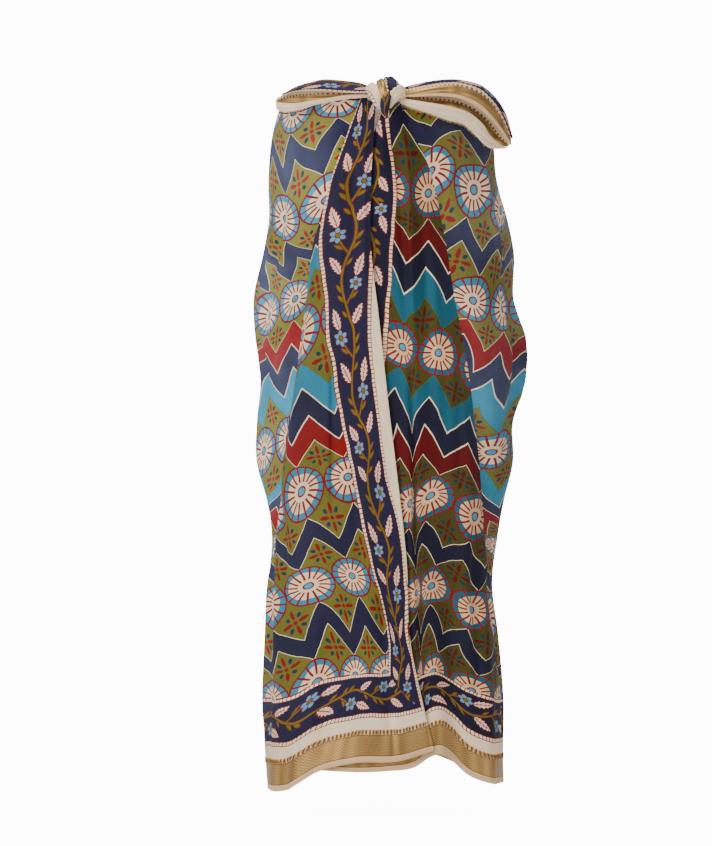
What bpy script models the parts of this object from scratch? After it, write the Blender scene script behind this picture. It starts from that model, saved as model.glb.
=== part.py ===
"""A knotted sarong, hollow, in the shape in which it is worn.

One printed rectangle of thin cloth goes once round the hips, from the edge that lies underneath at the front, round
the right side, the back and the left side, to the edge that lies on top. Its two top corners are tied over each other
in front. Here the wall is made in the stretches that show between its large folds, and then the knot and its two
free ends. +X is the right as one faces the front, -Y is the front, +Z is up, and the origin is the middle of the waist.
"""

import math

import bpy
import numpy as np

MM = 0.001

# Driving sizes, in millimetres.
WALL = 1.5  # thickness of the cloth wall
SEAM_GAP = 0.4  # between neighbouring stretches
OVER_LIFT = 5.0  # how far the stretch on top stands off the one beneath it
UNDER_DROP = 2.0  # how far the covered cloth is pressed in
LIFT_START = 14.0  # the stretch on top reaches its full lift this far from its fold line
SQUARENESS = 2.35  # exponent of the rounded sections: 2 is an ellipse
TOP_DROP = -8.0  # the upper edge of the wall, which stands a little above the waist
BACK_SEAM_TURN = 128.0  # degrees from the front to the seams at the back
SIDE_LIMIT = 0.985  # a fold line stays within this share of the half-width

# One row for each section: its drop below the waist, its half-widths, and its depths.
SECTION_COLUMNS = ("below", "left", "right", "front", "back")
SECTIONS = (
    (-30, 132, 132, 97, 88),
    (0, 136, 136, 100, 92),
    (43, 147, 142, 105, 101),
    (110, 153, 147, 110, 117),
    (160, 152, 158, 111, 125),
    (200, 157, 165, 111, 128),
    (264, 168, 165, 110, 126),
    (316, 165, 181, 108, 121),
    (368, 156, 180, 107, 116),
    (420, 163, 167, 105, 111),
    (472, 164, 169, 103, 106),
    (524, 152, 157, 102, 103),
    (576, 146, 147, 101, 101),
    (628, 150, 140, 101, 100),
    (706, 153, 149, 102, 101),
    (784, 156, 156, 104, 103),
    (862, 155, 156, 106, 105),
    (910, 153, 157, 107, 106),
)

# Fold lines and free edges seen from the front: across from the middle, at a drop below the waist.
LINE_COLUMNS = ("below", "across")
LEFT_FOLD = (
    (0, -30),
    (43, -46),
    (108, -70),
    (153, -83),
    (186, -95),
    (269, -107),
    (377, -124),
    (495, -139),
    (560, -143),
    (910, -152),
)
RIGHT_FOLD = (
    (0, 17),
    (30, 26),
    (88, 56),
    (172, 78),
    (247, 91),
    (363, 112),
    (463, 125),
    (589, 138),
    (640, 142),
    (910, 156),
)
OVER_EDGE = (
    (0, -11),
    (43, -14),
    (110, -18),
    (200, -18),
    (290, -8),
    (416, 6),
    (498, 16),
    (600, 27),
    (706, 32),
    (790, 49),
    (846, 62),
    (910, 66),
)
UNDER_EDGE = (
    (0, -2),
    (22, -4),
    (38, -10),
    (69, -22),
    (110, -38),
    (180, -55),
    (316, -78),
    (524, -102),
    (706, -113),
    (910, -122),
)

# The hem: how far each point of it lies below the waist.
HEM_COLUMNS = ("across", "below")
OVER_HEM = ((-155, 903), (-118, 896), (-87, 874), (-45, 862), (20, 858), (62, 846))
UNDER_HEM = ((-122, 871), (0, 872), (38, 867), (69, 851), (90, 861), (110, 879), (131, 890), (157, 894))
BACK_HEM = 864.0
MEAN_HEM = 900.0

# How deep the two large folds run, by their drop below the waist.
CREASE_COLUMNS = ("below", "depth", "inner_width", "outer_width")
LEFT_CREASE = (
    (0, 2, 14, 14),
    (110, 3, 12, 16),
    (190, 9, 9, 20),
    (300, 11, 9, 22),
    (460, 8, 9, 20),
    (600, 4, 14, 20),
    (910, 3, 18, 20),
)
RIGHT_CREASE = (
    (0, 3, 12, 12),
    (70, 7, 20, 9),
    (150, 12, 26, 8),
    (260, 12, 24, 9),
    (400, 9, 14, 16),
    (540, 8, 9, 18),
    (680, 4, 14, 18),
    (910, 3, 18, 18),
)

# Soft upright folds in the wall: turn from the front in degrees at the top and the hem, the drops between which each
# runs, its width along the wall, and its height, where a minus is a trough.
FOLD_COLUMNS = ("turn_top", "turn_hem", "start", "end", "width", "height")
FOLDS = {
    "front_over": (
        (-52, -56, 330, 700, 15, 3.0),
        (-34, -38, 560, 905, 22, -3.5),
        (-62, -52, 700, 1000, 20, 4.5),
        (-20, -6, 480, 900, 16, 2.5),
    ),
    "front_under": (
        (13, 27, 300, 740, 10, 3.5),
        (25, 38, 120, 560, 14, -3.0),
        (40, 52, 540, 980, 18, -6.0),
        (31, 38, 620, 1000, 12, 3.0),
        (66, 68, 600, 1000, 18, 4.0),
    ),
    "left_side": (
        (-82, -88, 120, 620, 18, 3.5),
        (-104, -100, 380, 980, 22, 4.5),
        (-96, -112, 60, 420, 16, -3.0),
        (-118, -116, 300, 760, 18, -3.5),
    ),
    "right_side": (
        (80, 76, 130, 520, 16, -4.0),
        (96, 92, 60, 470, 18, 4.0),
        (104, 108, 420, 980, 24, 4.5),
        (116, 122, 200, 640, 18, -3.5),
    ),
    "back": (
        (140, 146, 240, 1000, 26, 5.0),
        (158, 156, 330, 1000, 22, -5.0),
        (170, 176, 120, 760, 20, 3.5),
        (-172, -168, 420, 1000, 26, 5.5),
        (-158, -160, 260, 880, 20, -4.5),
        (-142, -147, 140, 640, 22, 3.5),
        (-138, -138, 600, 1000, 24, 5.0),
    ),
}

# Gathers that fan out from under the knot.
GATHER_CENTRE_BELOW = 12.0
GATHER_HEIGHT = 4.0
GATHER_START = 34.0
GATHER_REACH = 150.0
GATHER_WAVES = 13.0

# The knot is a round union of bundles: centre across, forward of its middle and up, then its three half-sizes.
KNOT_MIDDLE = (0.0, -118.0, 0.0)
BUNDLE_COLUMNS = ("across", "forward", "up", "half_width", "half_depth", "half_height")
BUNDLES = (
    (-15, -2, 4, 14, 14, 15),
    (-7, 4, 9, 9, 13, 14),
    (6, 2, 13, 14, 12, 12),
    (13, 1, 5, 16, 14, 12),
    (0, 6, -6, 7, 12, 14),
    (0, -2, 0, 16, 14, 16),
)
KNOT_END_LEFT = -24.0
KNOT_END_RIGHT = 24.0
KNOT_RINGS = 22
KNOT_SEGMENTS = 40

# The tie ends: each section's place across, its depth in front, its top and bottom above the waist, and its thickness.
TIE_COLUMNS = ("across", "depth", "top", "bottom", "thick")
TIE_LEFT = (
    (-24.4, -118, 17, -3, 9),
    (-45, -116, 20, -4, 10),
    (-66, -111, 21, -6, 12),
    (-87, -103, 20, -9, 13),
    (-108, -92, 14, -16, 15),
    (-124, -81, 9, -22, 16),
    (-137, -71, 3, -14, 12),
    (-145, -64, -3, -9, 7),
)
TIE_RIGHT = (
    (24.4, -118, 12, -16, 9),
    (38, -117, 13, -24, 11),
    (58, -114, 15, -30, 13),
    (79, -109, 21, -35, 15),
    (100, -101, 21, -40, 17),
    (121, -91, 16, -52, 18),
    (142, -79, 0, -66, 18),
    (157, -69, -22, -70, 14),
    (167, -61, -48, -68, 9),
)
TIE_STEPS = 18
TIE_LOOP = 14
TIE_WALL = 1.5

COLOURS = {
    "front_over": (0.045, 0.06, 0.16),
    "left_side": (0.26, 0.25, 0.06),
    "back": (0.045, 0.06, 0.16),
    "right_side": (0.26, 0.25, 0.06),
    "front_under": (0.13, 0.4, 0.5),
    "knot": (0.72, 0.62, 0.48),
    "tie_end_left": (0.5, 0.34, 0.12),
    "tie_end_right": (0.5, 0.34, 0.12),
}


def table(rows, columns):
    """The table's columns by name, as arrays."""
    return {name: np.array([float(row[i]) for row in rows]) for i, name in enumerate(columns)}


def smooth(x, xs, ys):
    """A smooth curve through the points of a table, read at x."""
    x = np.clip(x, xs[0], xs[-1])
    slope = np.gradient(ys, xs)
    i = np.clip(np.searchsorted(xs, x, side="right") - 1, 0, len(xs) - 2)
    step = xs[i + 1] - xs[i]
    t = (x - xs[i]) / step
    rise = (2 * t**3 - 3 * t**2 + 1) * ys[i] + (3 * t**2 - 2 * t**3) * ys[i + 1]
    return rise + (t**3 - 2 * t**2 + t) * step * slope[i] + (t**3 - t**2) * step * slope[i + 1]


def read(rows, columns, name, x):
    columns_by_name = table(rows, columns)
    return smooth(x, columns_by_name[columns[0]], columns_by_name[name])


def section(below):
    """The half-widths and depths of the wall at a drop below the waist."""
    return [read(SECTIONS, SECTION_COLUMNS, name, below) for name in SECTION_COLUMNS[1:]]


def turn_at(across, below):
    """The turn round the body, in degrees from the front, of a point seen from the front."""
    left, right, front, _ = section(below)
    width = np.where(across < 0, left, right)
    share = np.clip(np.abs(across) / width, 0, SIDE_LIMIT)
    depth = front * (1 - share**SQUARENESS) ** (1 / SQUARENESS)
    return np.degrees(np.arctan2(np.sign(across) * share * width, depth))


def on_section(turn, below):
    """The point of the plain wall at this turn, and the direction that points out of it."""
    left, right, front, back = section(below)
    angle = np.radians(turn)
    across, forward = np.sin(angle), np.cos(angle)
    width = np.where(across < 0, left, right)
    depth = np.where(forward > 0, front, back)
    power = SQUARENESS
    radius = ((np.abs(across) / width) ** power + (np.abs(forward) / depth) ** power) ** (-1 / power)
    x, y = radius * across, -radius * forward
    out_x = np.sign(x) * np.abs(x) ** (power - 1) / width**power
    out_y = np.sign(y) * np.abs(y) ** (power - 1) / depth**power
    length = np.hypot(out_x, out_y)
    return x, y, out_x / length, out_y / length, radius


def line_turn(rows, below):
    return turn_at(read(rows, LINE_COLUMNS, "across", below), below)


def hem_below(rows, turn):
    """How low the hem hangs at this turn: by its table in front, and a little higher across the back."""
    across, below = (table(rows, HEM_COLUMNS)[name] for name in HEM_COLUMNS)
    turns = turn_at(across, below)
    lowest_left, lowest_right = OVER_HEM[0][1], UNDER_HEM[-1][1]
    turns = np.concatenate([[-180, -155, -110], turns, [110, 155, 180]])
    start = BACK_HEM if turns[3] < -80 else below[0]
    end = BACK_HEM if turns[-4] > 80 else below[-1]
    first = lowest_left if turns[3] < -80 else below[0]
    last = lowest_right if turns[-4] > 80 else below[-1]
    return smooth(turn, turns, np.concatenate([[start, start, first], below, [last, end, end]]))


def bump(x, width):
    return np.exp(-((x / width) ** 2))


def between(x, start, end):
    """Rises from 0 to 1 a little after start, and falls to 0 again at end."""
    rise = np.clip((x - start) / (0.3 * (end - start)), 0, 1)
    fall = np.clip((end - x) / (0.3 * (end - start)), 0, 1)
    return rise**2 * (3 - 2 * rise) * fall**2 * (3 - 2 * fall)


def soft_folds(name, turn, below, radius):
    height = np.zeros_like(turn)
    for row in FOLDS[name]:
        fold = dict(zip(FOLD_COLUMNS, row))
        along = np.clip((below - fold["start"]) / (fold["end"] - fold["start"]), 0, 1)
        middle = fold["turn_top"] + (fold["turn_hem"] - fold["turn_top"]) * along
        away = np.radians((turn - middle + 180) % 360 - 180) * radius
        height += fold["height"] * bump(away, fold["width"]) * between(below, fold["start"], fold["end"])
    return height


def gathers(x, below):
    """Small pleats that fan out from under the knot and fade."""
    reach = np.hypot(x, below - GATHER_CENTRE_BELOW)
    angle = np.arctan2(x, below - GATHER_CENTRE_BELOW)
    strength = np.clip((reach - GATHER_START) / 25, 0, 1) * np.clip(1 - reach / GATHER_REACH, 0, 1)
    return GATHER_HEIGHT * strength * np.cos(GATHER_WAVES * angle + 0.6)


def crease(rows, below, gap, inner):
    """The dip beside a large fold line, at a distance from it along the wall."""
    depth = read(rows, CREASE_COLUMNS, "depth", below)
    width = read(rows, CREASE_COLUMNS, "inner_width" if inner else "outer_width", below)
    return -depth * bump(gap, width)


def stretch_edges(name, below):
    """The turns at which a stretch starts and ends."""
    left_fold, right_fold = line_turn(LEFT_FOLD, below), line_turn(RIGHT_FOLD, below)
    back_right, back_left = np.full_like(below, BACK_SEAM_TURN), np.full_like(below, 360 - BACK_SEAM_TURN)
    return {
        "front_over": (left_fold, line_turn(OVER_EDGE, below)),
        "front_under": (line_turn(UNDER_EDGE, below), right_fold),
        "right_side": (right_fold, back_right),
        "back": (back_right, back_left),
        "left_side": (back_left - 360, left_fold),
    }[name]


def wall_height(name, turn, below, radius, x):
    """How far the wall stands out from its plain section."""
    left_gap = np.radians(turn - line_turn(LEFT_FOLD, below)) * radius
    right_gap = np.radians(turn - line_turn(RIGHT_FOLD, below)) * radius
    height = soft_folds(name, turn, below, radius)
    if name != "back":
        height += gathers(x, below) * bump(np.minimum(np.abs(turn), 90), 60)
    if name in ("front_over", "left_side"):
        height += crease(LEFT_CREASE, below, left_gap, name == "front_over")
    if name in ("front_under", "right_side"):
        height += crease(RIGHT_CREASE, below, right_gap, name == "front_under")
    if name == "front_over":
        height += OVER_LIFT * np.clip(left_gap / LIFT_START, 0, 1)
    if name == "front_under":
        covered = np.radians(line_turn(OVER_EDGE, below) - turn) * radius
        height -= UNDER_DROP * np.clip(covered / LIFT_START, 0, 1)
    return height


def wall_points(name, along, down):
    """Points of a stretch: along runs from its start to its end and down from the waist to the hem, both 0 to 1."""
    guess = TOP_DROP + down * (MEAN_HEM - TOP_DROP)
    start, end = stretch_edges(name, guess)
    turn = (start + (end - start) * along + 180) % 360 - 180
    on_top = name in ("front_over", "left_side") or (name == "back") * (turn < 0)
    hem = np.where(on_top, hem_below(OVER_HEM, turn), hem_below(UNDER_HEM, turn))
    below = TOP_DROP + down * (hem - TOP_DROP)
    start, end = stretch_edges(name, below)
    _, _, _, _, radius = on_section((start + end) / 2, below)
    half_gap = np.degrees(SEAM_GAP / 2 / radius)
    turn = start + half_gap + (end - start - 2 * half_gap) * along
    x, y, out_x, out_y, radius = on_section(turn, below)
    fade = np.clip(np.minimum(along, 1 - along) / 0.12, 0, 1)
    height = wall_height(name, turn, below, radius, x)
    plain = height - soft_folds(name, turn, below, radius)
    height = plain + (height - plain) * fade
    return x + out_x * height, y + out_y * height, -below


def new_object(name, vertices, faces):
    mesh = bpy.data.meshes.new(name)
    mesh.from_pydata([tuple(point) for point in vertices], [], faces)
    mesh.update()
    obj = bpy.data.objects.new(name, mesh)
    bpy.data.collections["sarong"].objects.link(obj)
    red, green, blue = COLOURS[name]
    material = bpy.data.materials.new(name)
    material.use_nodes = True
    shader = material.node_tree.nodes["Principled BSDF"]
    shader.inputs["Base Color"].default_value = (red, green, blue, 1)
    shader.inputs["Roughness"].default_value = 0.7
    shader.inputs["Metallic"].default_value = 0.0
    mesh.materials.append(material)
    mesh.shade_smooth()
    return obj


def grid_faces(rows, columns, closed=False):
    """Quads of a grid whose points run along each row in turn."""
    faces = []
    for i in range(rows - 1):
        for j in range(columns if closed else columns - 1):
            k = (j + 1) % columns
            faces.append((i * columns + j, (i + 1) * columns + j, (i + 1) * columns + k, i * columns + k))
    return faces


def thicken(obj, wall):
    solidify = obj.modifiers.new("wall", "SOLIDIFY")
    solidify.thickness = wall * MM
    solidify.offset = -1
    solidify.use_rim = True


def make_stretch(name, columns, rows):
    down, along = np.meshgrid(np.linspace(0, 1, rows), np.linspace(0, 1, columns), indexing="ij")
    x, y, z = wall_points(name, along, down)
    points = np.stack([x, y, z], axis=-1).reshape(-1, 3) * MM
    obj = new_object(name, points, grid_faces(rows, columns))
    thicken(obj, WALL)
    return obj


def reach_of(bundle, direction):
    """How far the knot's middle sees the surface of one bundle, an ellipsoid that holds the middle or lies near it."""
    centre = np.array([bundle["across"], -bundle["forward"], bundle["up"]])
    size = np.array([bundle["half_width"], bundle["half_depth"], bundle["half_height"]])
    d, c = direction / size, centre / size
    a, b, k = (d * d).sum(-1), (d * c).sum(-1), (c * c).sum() - 1
    return (b + np.sqrt(np.maximum(b * b - a * k, 0))) / a


def make_knot():
    """One closed lump: the farthest of its bundles in each direction, cut flat where the tie ends leave it."""
    points = []
    for ring in range(1, KNOT_RINGS):
        polar = math.pi * ring / KNOT_RINGS
        for segment in range(KNOT_SEGMENTS):
            round_it = 2 * math.pi * segment / KNOT_SEGMENTS
            points.append((math.cos(polar), math.sin(polar) * math.cos(round_it), math.sin(polar) * math.sin(round_it)))
    points = np.array([(1.0, 0.0, 0.0)] + points + [(-1.0, 0.0, 0.0)])
    reaches = [reach_of(dict(zip(BUNDLE_COLUMNS, row)), points) for row in BUNDLES]
    points = points * np.max(reaches, axis=0)[:, None] + KNOT_MIDDLE
    points[:, 0] = np.clip(points[:, 0], KNOT_END_LEFT, KNOT_END_RIGHT)
    _, y, _, _, _ = on_section(np.degrees(np.arctan2(points[:, 0], 105.0)), np.maximum(-points[:, 2], -30.0))
    points[:, 1] = np.minimum(points[:, 1], y - OVER_LIFT - SEAM_GAP)
    last = len(points) - 1
    faces = []
    for k in range(KNOT_SEGMENTS):
        after = (k + 1) % KNOT_SEGMENTS
        faces.append((0, 1 + k, 1 + after))
        faces.append((last, last - KNOT_SEGMENTS + after, last - KNOT_SEGMENTS + k))
    for face in grid_faces(KNOT_RINGS - 1, KNOT_SEGMENTS, closed=True):
        faces.append(tuple(index + 1 for index in face))
    return new_object("knot", points * MM, faces)


def tie_loop(thick, height):
    """Half of a cloth folded over its top, seen from its end: forward and up from the middle, down its front last."""
    points = []
    for i in range(TIE_LOOP):
        turn = math.pi * (i / (TIE_LOOP - 1)) * 1.25 - math.pi * 0.125
        points.append((-math.cos(turn) * thick / 2, (max(math.sin(turn), -0.2) * 1.2 - 0.2) * height / 2))
    points[0] = (points[0][0], -height / 2)
    points[-1] = (points[-1][0], -height / 2)
    return points


def make_tie(name, rows):
    """A folded band lofted through its sections."""
    columns = table(rows, TIE_COLUMNS)
    stations = np.linspace(0, len(rows) - 1, TIE_STEPS)
    order = np.arange(len(rows), dtype=float)
    read_at = {key: smooth(stations, order, values) for key, values in columns.items()}
    points = []
    for i in range(TIE_STEPS):
        height = read_at["top"][i] - read_at["bottom"][i]
        middle = (read_at["top"][i] + read_at["bottom"][i]) / 2
        for forward, up in tie_loop(read_at["thick"][i], height):
            points.append((read_at["across"][i], read_at["depth"][i] - forward, middle + up))
    faces = grid_faces(TIE_STEPS, TIE_LOOP)
    if read_at["across"][-1] > 0:
        faces = [face[::-1] for face in faces]
    obj = new_object(name, np.array(points) * MM, faces)
    thicken(obj, TIE_WALL)
    return obj


def main():
    for obj in list(bpy.data.objects):
        bpy.data.objects.remove(obj)
    collection = bpy.data.collections.new("sarong")
    bpy.context.scene.collection.children.link(collection)
    make_stretch("front_over", 20, 29)
    make_stretch("left_side", 12, 29)
    make_stretch("back", 22, 29)
    make_stretch("right_side", 12, 29)
    make_stretch("front_under", 20, 29)
    make_knot()
    make_tie("tie_end_left", TIE_LEFT)
    make_tie("tie_end_right", TIE_RIGHT)


main()
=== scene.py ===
# %% [markdown]
# A knotted sarong, lesson by lesson. The real one is a rectangle of thin block-printed crepe, worn once
# round the hips and held up by its two top corners, tied in front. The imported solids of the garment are
# loaded first and never moved. Each is then replaced by a thin shell of cloth in the same place, so
# everything below works in that frame: metres, +Z up, -Y the front, and the origin in the middle of the
# waist.

import math

import bpy
import numpy as np
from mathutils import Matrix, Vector


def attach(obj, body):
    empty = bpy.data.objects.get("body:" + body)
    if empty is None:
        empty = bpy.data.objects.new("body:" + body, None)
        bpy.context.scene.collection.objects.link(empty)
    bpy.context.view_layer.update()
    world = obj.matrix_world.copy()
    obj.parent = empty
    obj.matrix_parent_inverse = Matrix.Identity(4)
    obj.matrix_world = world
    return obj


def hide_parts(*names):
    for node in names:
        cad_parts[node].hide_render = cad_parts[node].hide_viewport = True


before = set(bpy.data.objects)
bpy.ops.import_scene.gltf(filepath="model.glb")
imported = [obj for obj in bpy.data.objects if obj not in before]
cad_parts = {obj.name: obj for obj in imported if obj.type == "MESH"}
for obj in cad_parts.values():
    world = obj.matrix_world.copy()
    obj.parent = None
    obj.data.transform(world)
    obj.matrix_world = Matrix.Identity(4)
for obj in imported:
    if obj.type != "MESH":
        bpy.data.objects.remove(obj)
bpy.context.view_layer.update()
MM = 0.001

# %% [markdown]
# Materials and Geometry Nodes are both trees of nodes. One helper adds a node to either kind, makes its
# settings, and gives each input its value or joins it to the output that it comes from. Two more make a
# material and put a thing in the scene.

# %% Helpers for nodes, materials and objects


def set_inputs(node, values):
    """Gives each input its value, or joins it to the output of another node."""
    for name, value in values.items():
        value = getattr(value, "socket", value)
        if isinstance(value, bpy.types.NodeSocket):
            node.id_data.links.new(value, node.inputs[name])
        else:
            node.inputs[name].default_value = value


def add_node(tree, kind, inputs, **settings):
    node = tree.nodes.new(kind)
    for name, value in settings.items():
        setattr(node, name, value)
    set_inputs(node, inputs)
    return node


def new_material(name):
    """A material and its main shader node."""
    material = bpy.data.materials.new(name)
    material.use_nodes = True
    return material, material.node_tree.nodes["Principled BSDF"]


def place_object(name, data):
    obj = bpy.data.objects.new(name, data)
    bpy.context.scene.collection.objects.link(obj)
    return obj


# %% [markdown]
# The camera stands five metres in front of the garment, level with its middle, because the photograph looks
# straight at it with hardly any perspective. Its lens follows from the height that the picture takes in.
# The sweep is one sheet: a pale floor that curves up into a wall far behind, so no horizon shows.

# %% Camera, sweep and lights
PICTURE_HEIGHT = 1.0998
PICTURE_MIDDLE = Vector((-0.0377, -0.05, -0.4238))
CAMERA_DISTANCE = 5.0
SENSOR = 36.0
FLOOR_LEVEL = -0.94
SWEEP_HALF_WIDTH = 6.0
SWEEP_NEAR = -7.0
BEND_START, BEND_RADIUS, BEND_STEPS = 2.0, 2.0, 16
SWEEP_TOP = 4.0
SWEEP_PAINT = (0.86, 0.86, 0.86, 1)
WHITE = (1, 1, 1, 1)
BACKDROP_GLOW = 12.0
WORLD_STRENGTH = 0.3
SOFTBOXES = {
    "softbox_left": ((-2.6, -3.0, 1.2), (0, 0, -0.4), (1.4, 2.0), 150),
    "softbox_right": ((2.8, -2.4, 0.6), (0, 0, -0.45), (1.4, 2.0), 30),
    "softbox_above": ((0.0, -0.4, 2.6), (0, 0.2, -0.4), (1.6, 1.6), 70),
}


def make_camera():
    data = bpy.data.cameras.new("camera")
    data.sensor_fit = "AUTO"
    data.sensor_width = SENSOR
    data.lens = SENSOR * CAMERA_DISTANCE / PICTURE_HEIGHT
    camera = place_object("camera", data)
    camera.location = PICTURE_MIDDLE + Vector((0, -CAMERA_DISTANCE, 0))
    camera.rotation_euler = (math.radians(90), 0, 0)
    bpy.context.scene.camera = camera


def make_sweep():
    """A pale floor that rises into a backdrop through a wide quarter circle."""
    profile = [(SWEEP_NEAR, 0.0), (BEND_START, 0.0)]
    for step in range(1, BEND_STEPS + 1):
        turn = math.radians(90) * step / BEND_STEPS
        profile.append((BEND_START + BEND_RADIUS * math.sin(turn), BEND_RADIUS * (1 - math.cos(turn))))
    profile.append((BEND_START + BEND_RADIUS, SWEEP_TOP))
    vertices = [(side * SWEEP_HALF_WIDTH, y, FLOOR_LEVEL + z) for y, z in profile for side in (-1, 1)]
    faces = [(2 * i, 2 * i + 1, 2 * i + 3, 2 * i + 2) for i in range(len(profile) - 1)]
    mesh = bpy.data.meshes.new("sweep")
    mesh.from_pydata(vertices, [], faces)
    mesh.shade_smooth()
    material, shader = new_material("sweep_paint")
    seen = add_node(material.node_tree, "ShaderNodeLightPath", {})
    inputs = {0: seen.outputs["Is Camera Ray"], 1: BACKDROP_GLOW}
    glow = add_node(material.node_tree, "ShaderNodeMath", inputs, operation="MULTIPLY")
    set_inputs(shader, {"Base Color": SWEEP_PAINT, "Roughness": 0.9, "Specular IOR Level": 0.1})
    set_inputs(shader, {"Emission Color": WHITE, "Emission Strength": glow.outputs[0]})
    mesh.materials.append(material)
    place_object("sweep", mesh)


def add_softbox(name, place, target, size, power):
    data = bpy.data.lights.new(name, "AREA")
    data.shape = "RECTANGLE"
    data.size, data.size_y = size
    data.energy = power
    light = place_object(name, data)
    light.location = place
    light.rotation_euler = (Vector(target) - Vector(place)).to_track_quat("-Z", "Y").to_euler()


make_camera()
make_sweep()
for name, row in SOFTBOXES.items():
    add_softbox(name, *row)
world = bpy.data.worlds.new("studio")
world.use_nodes = True
set_inputs(world.node_tree.nodes["Background"], {"Color": WHITE, "Strength": WORLD_STRENGTH})
bpy.context.scene.world = world
print("camera lens", round(bpy.context.scene.camera.data.lens, 1), "mm")

# %% [markdown]
# The print is drawn with numbers, not with a picture. Each point of the cloth carries its place on the flat
# cut rectangle in a UV map called `cloth`: how far it lies from the free edge on top, and how far above the
# hem, in metres. A small class lets the pattern be written as plain arithmetic: every sum or comparison
# adds one Math node. Nodes are added in the order in which they are needed, so few values wait at the same
# time.

# %% Arithmetic that builds nodes


class Value:
    """A number that differs over the cloth: a node socket that can be added, multiplied and compared."""

    tree = None
    # behind holds the mesh's painted shade while a material is built.
    behind = None

    def __init__(self, socket):
        self.socket = socket

    def __rsub__(self, other):
        return work("SUBTRACT", other, self)

    def __invert__(self):
        return work("SUBTRACT", 1.0, self)

    def __abs__(self):
        return work("ABSOLUTE", self)


def work(operation, *values):
    node = add_node(Value.tree, "ShaderNodeMath", dict(enumerate(values)), operation=operation)
    return Value(node.outputs[0])


def worked_by(operation):
    return lambda value, other: work(operation, value, other)


Value.__add__ = Value.__radd__ = worked_by("ADD")
Value.__sub__ = worked_by("SUBTRACT")
Value.__mul__ = Value.__rmul__ = Value.__and__ = worked_by("MULTIPLY")
Value.__or__ = worked_by("MAXIMUM")
Value.__lt__ = worked_by("LESS_THAN")
Value.__gt__ = worked_by("GREATER_THAN")


def square(value):
    return value * value


def swing(value, half_period):
    """Goes up from 0 to half a period and down again, over and over."""
    return work("PINGPONG", value, half_period)


def within(value, low, high):
    return (value > low) & (value < high)


def oval(along, across, half_length, half_width):
    """1 inside an ellipse."""
    return square(along * (1 / half_length)) + square(across * (1 / half_width)) < 1.0


def ink(red, green, blue):
    """A colour as seen on a screen, 0 to 255, turned into light."""
    shares = [channel / 255 for channel in (red, green, blue)]
    light = [share / 12.92 if share < 0.04045 else ((share + 0.055) / 1.055) ** 2.4 for share in shares]
    return (*light, 1.0)


def paint(under, mask, colour):
    """The colour under, with another laid over it where the mask is 1."""
    node = add_node(Value.tree, "ShaderNodeMix", {0: mask, 6: under, 7: colour}, data_type="RGBA")
    return Value(node.outputs[2])


print("screen grey 128 is", round(ink(128, 128, 128)[0], 3), "as light")

# %% [markdown]
# The cloth is 1.33 m along the wrap and 1.16 m between its selvages. Inside its borders run seven rows of
# olive diamonds. Where two diamonds touch sits a wheel-shaped rosette, and each diamond holds two small
# sprigs. Zigzag bands run between the rows. Neighbouring rows are shifted by half a repeat, which is what
# makes both edges of a band parallel, so one triangle wave draws all of them.

# %% The field of the print
CLOTH_ALONG = 1330.0
CLOTH_TALL = 1160.0
REPEAT = 65.0
FIRST_ROSETTE = 25.0
BORDER = 84.0
ZARI_TOP = 41.0
FIELD_FOOT = ZARI_TOP + BORDER
NECK = 31.5
TOOTH = 37.0
STEP = 130.0
WIDE_STEP = 195.0
THIRD_BAND = 31.7
CREAM_LINE = 1.15
GREEN_LINE = 0.95
SPRIG_OFF = 43.0
PETAL_OFF, PETAL_HALF_LENGTH, PETAL_HALF_WIDTH = 10.5, 6.4, 2.3
BUD_OFF, BUD_HALF_LENGTH, BUD_HALF_WIDTH = 10.8, 3.4, 2.3
DOT_RADIUS = 7.0**0.5
DIAGONAL = 0.7071
WHEEL_RADIUS = 32.6
RING_START, RING_END, RING_UNSTEADY = 19.5, 31.5, 8.0
RIM_START, RIM_END = 30.6, 33.0
SPOKES, SPOKE_HALF, SPOKE_START, SPOKE_END = 16, 1.25, 11.5, 32.0
EYE_RIM, EYE_RADIUS = 6.4, 4.4

# Each dye's second colour is the same dye darkened as painted shade, for cloth in shade or over more cloth.
NAVY, SHADED_NAVY = ink(34, 31, 60), ink(21, 19, 40)
RED, SHADED_RED = ink(150, 14, 10), ink(86, 3, 2)
SKY, SHADED_SKY = ink(53, 148, 180), ink(26, 84, 102)
OLIVE, SHADED_OLIVE = ink(126, 121, 38), ink(66, 61, 16)
CREAM, SHADED_CREAM = ink(240, 212, 178), ink(208, 172, 130)
SLATE = ink(78, 86, 122)
GREEN_EDGE = ink(60, 104, 30)
GREY_BLUE = ink(24, 46, 64)
RIM_RED = ink(118, 14, 12)


def with_painted_shade(light, deep):
    """Painted shade: the dye as lit, mixed towards its darker shaded copy where the mesh says so, most where
    more cloth lies behind it, and lighter where it is a single layer.
    """
    return paint(light, Value.behind, deep)


def band_colours(passed, above, edge, through):
    """The zigzag bands between the rows and the fine lines that part them. Light shows most through navy."""
    third = passed[2] & ~passed[3]
    red_side = ((passed[1] & ~passed[2]) & above) + ((passed[3] & ~passed[4]) & ~above)
    near = edge < THIRD_BAND
    colour = paint(with_painted_shade(NAVY, SHADED_NAVY), through, SLATE)
    colour = paint(colour, red_side & near, with_painted_shade(RED, SHADED_RED))
    colour = paint(colour, third & near, with_painted_shade(SKY, SHADED_SKY))
    colour = paint(colour, (abs(edge - THIRD_BAND) < CREAM_LINE) & (third + red_side), CREAM)
    colour = paint(colour, (abs(edge) < CREAM_LINE) & ~third, CREAM)
    return paint(colour, (abs(edge) < GREEN_LINE) & third, GREEN_EDGE)


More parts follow.
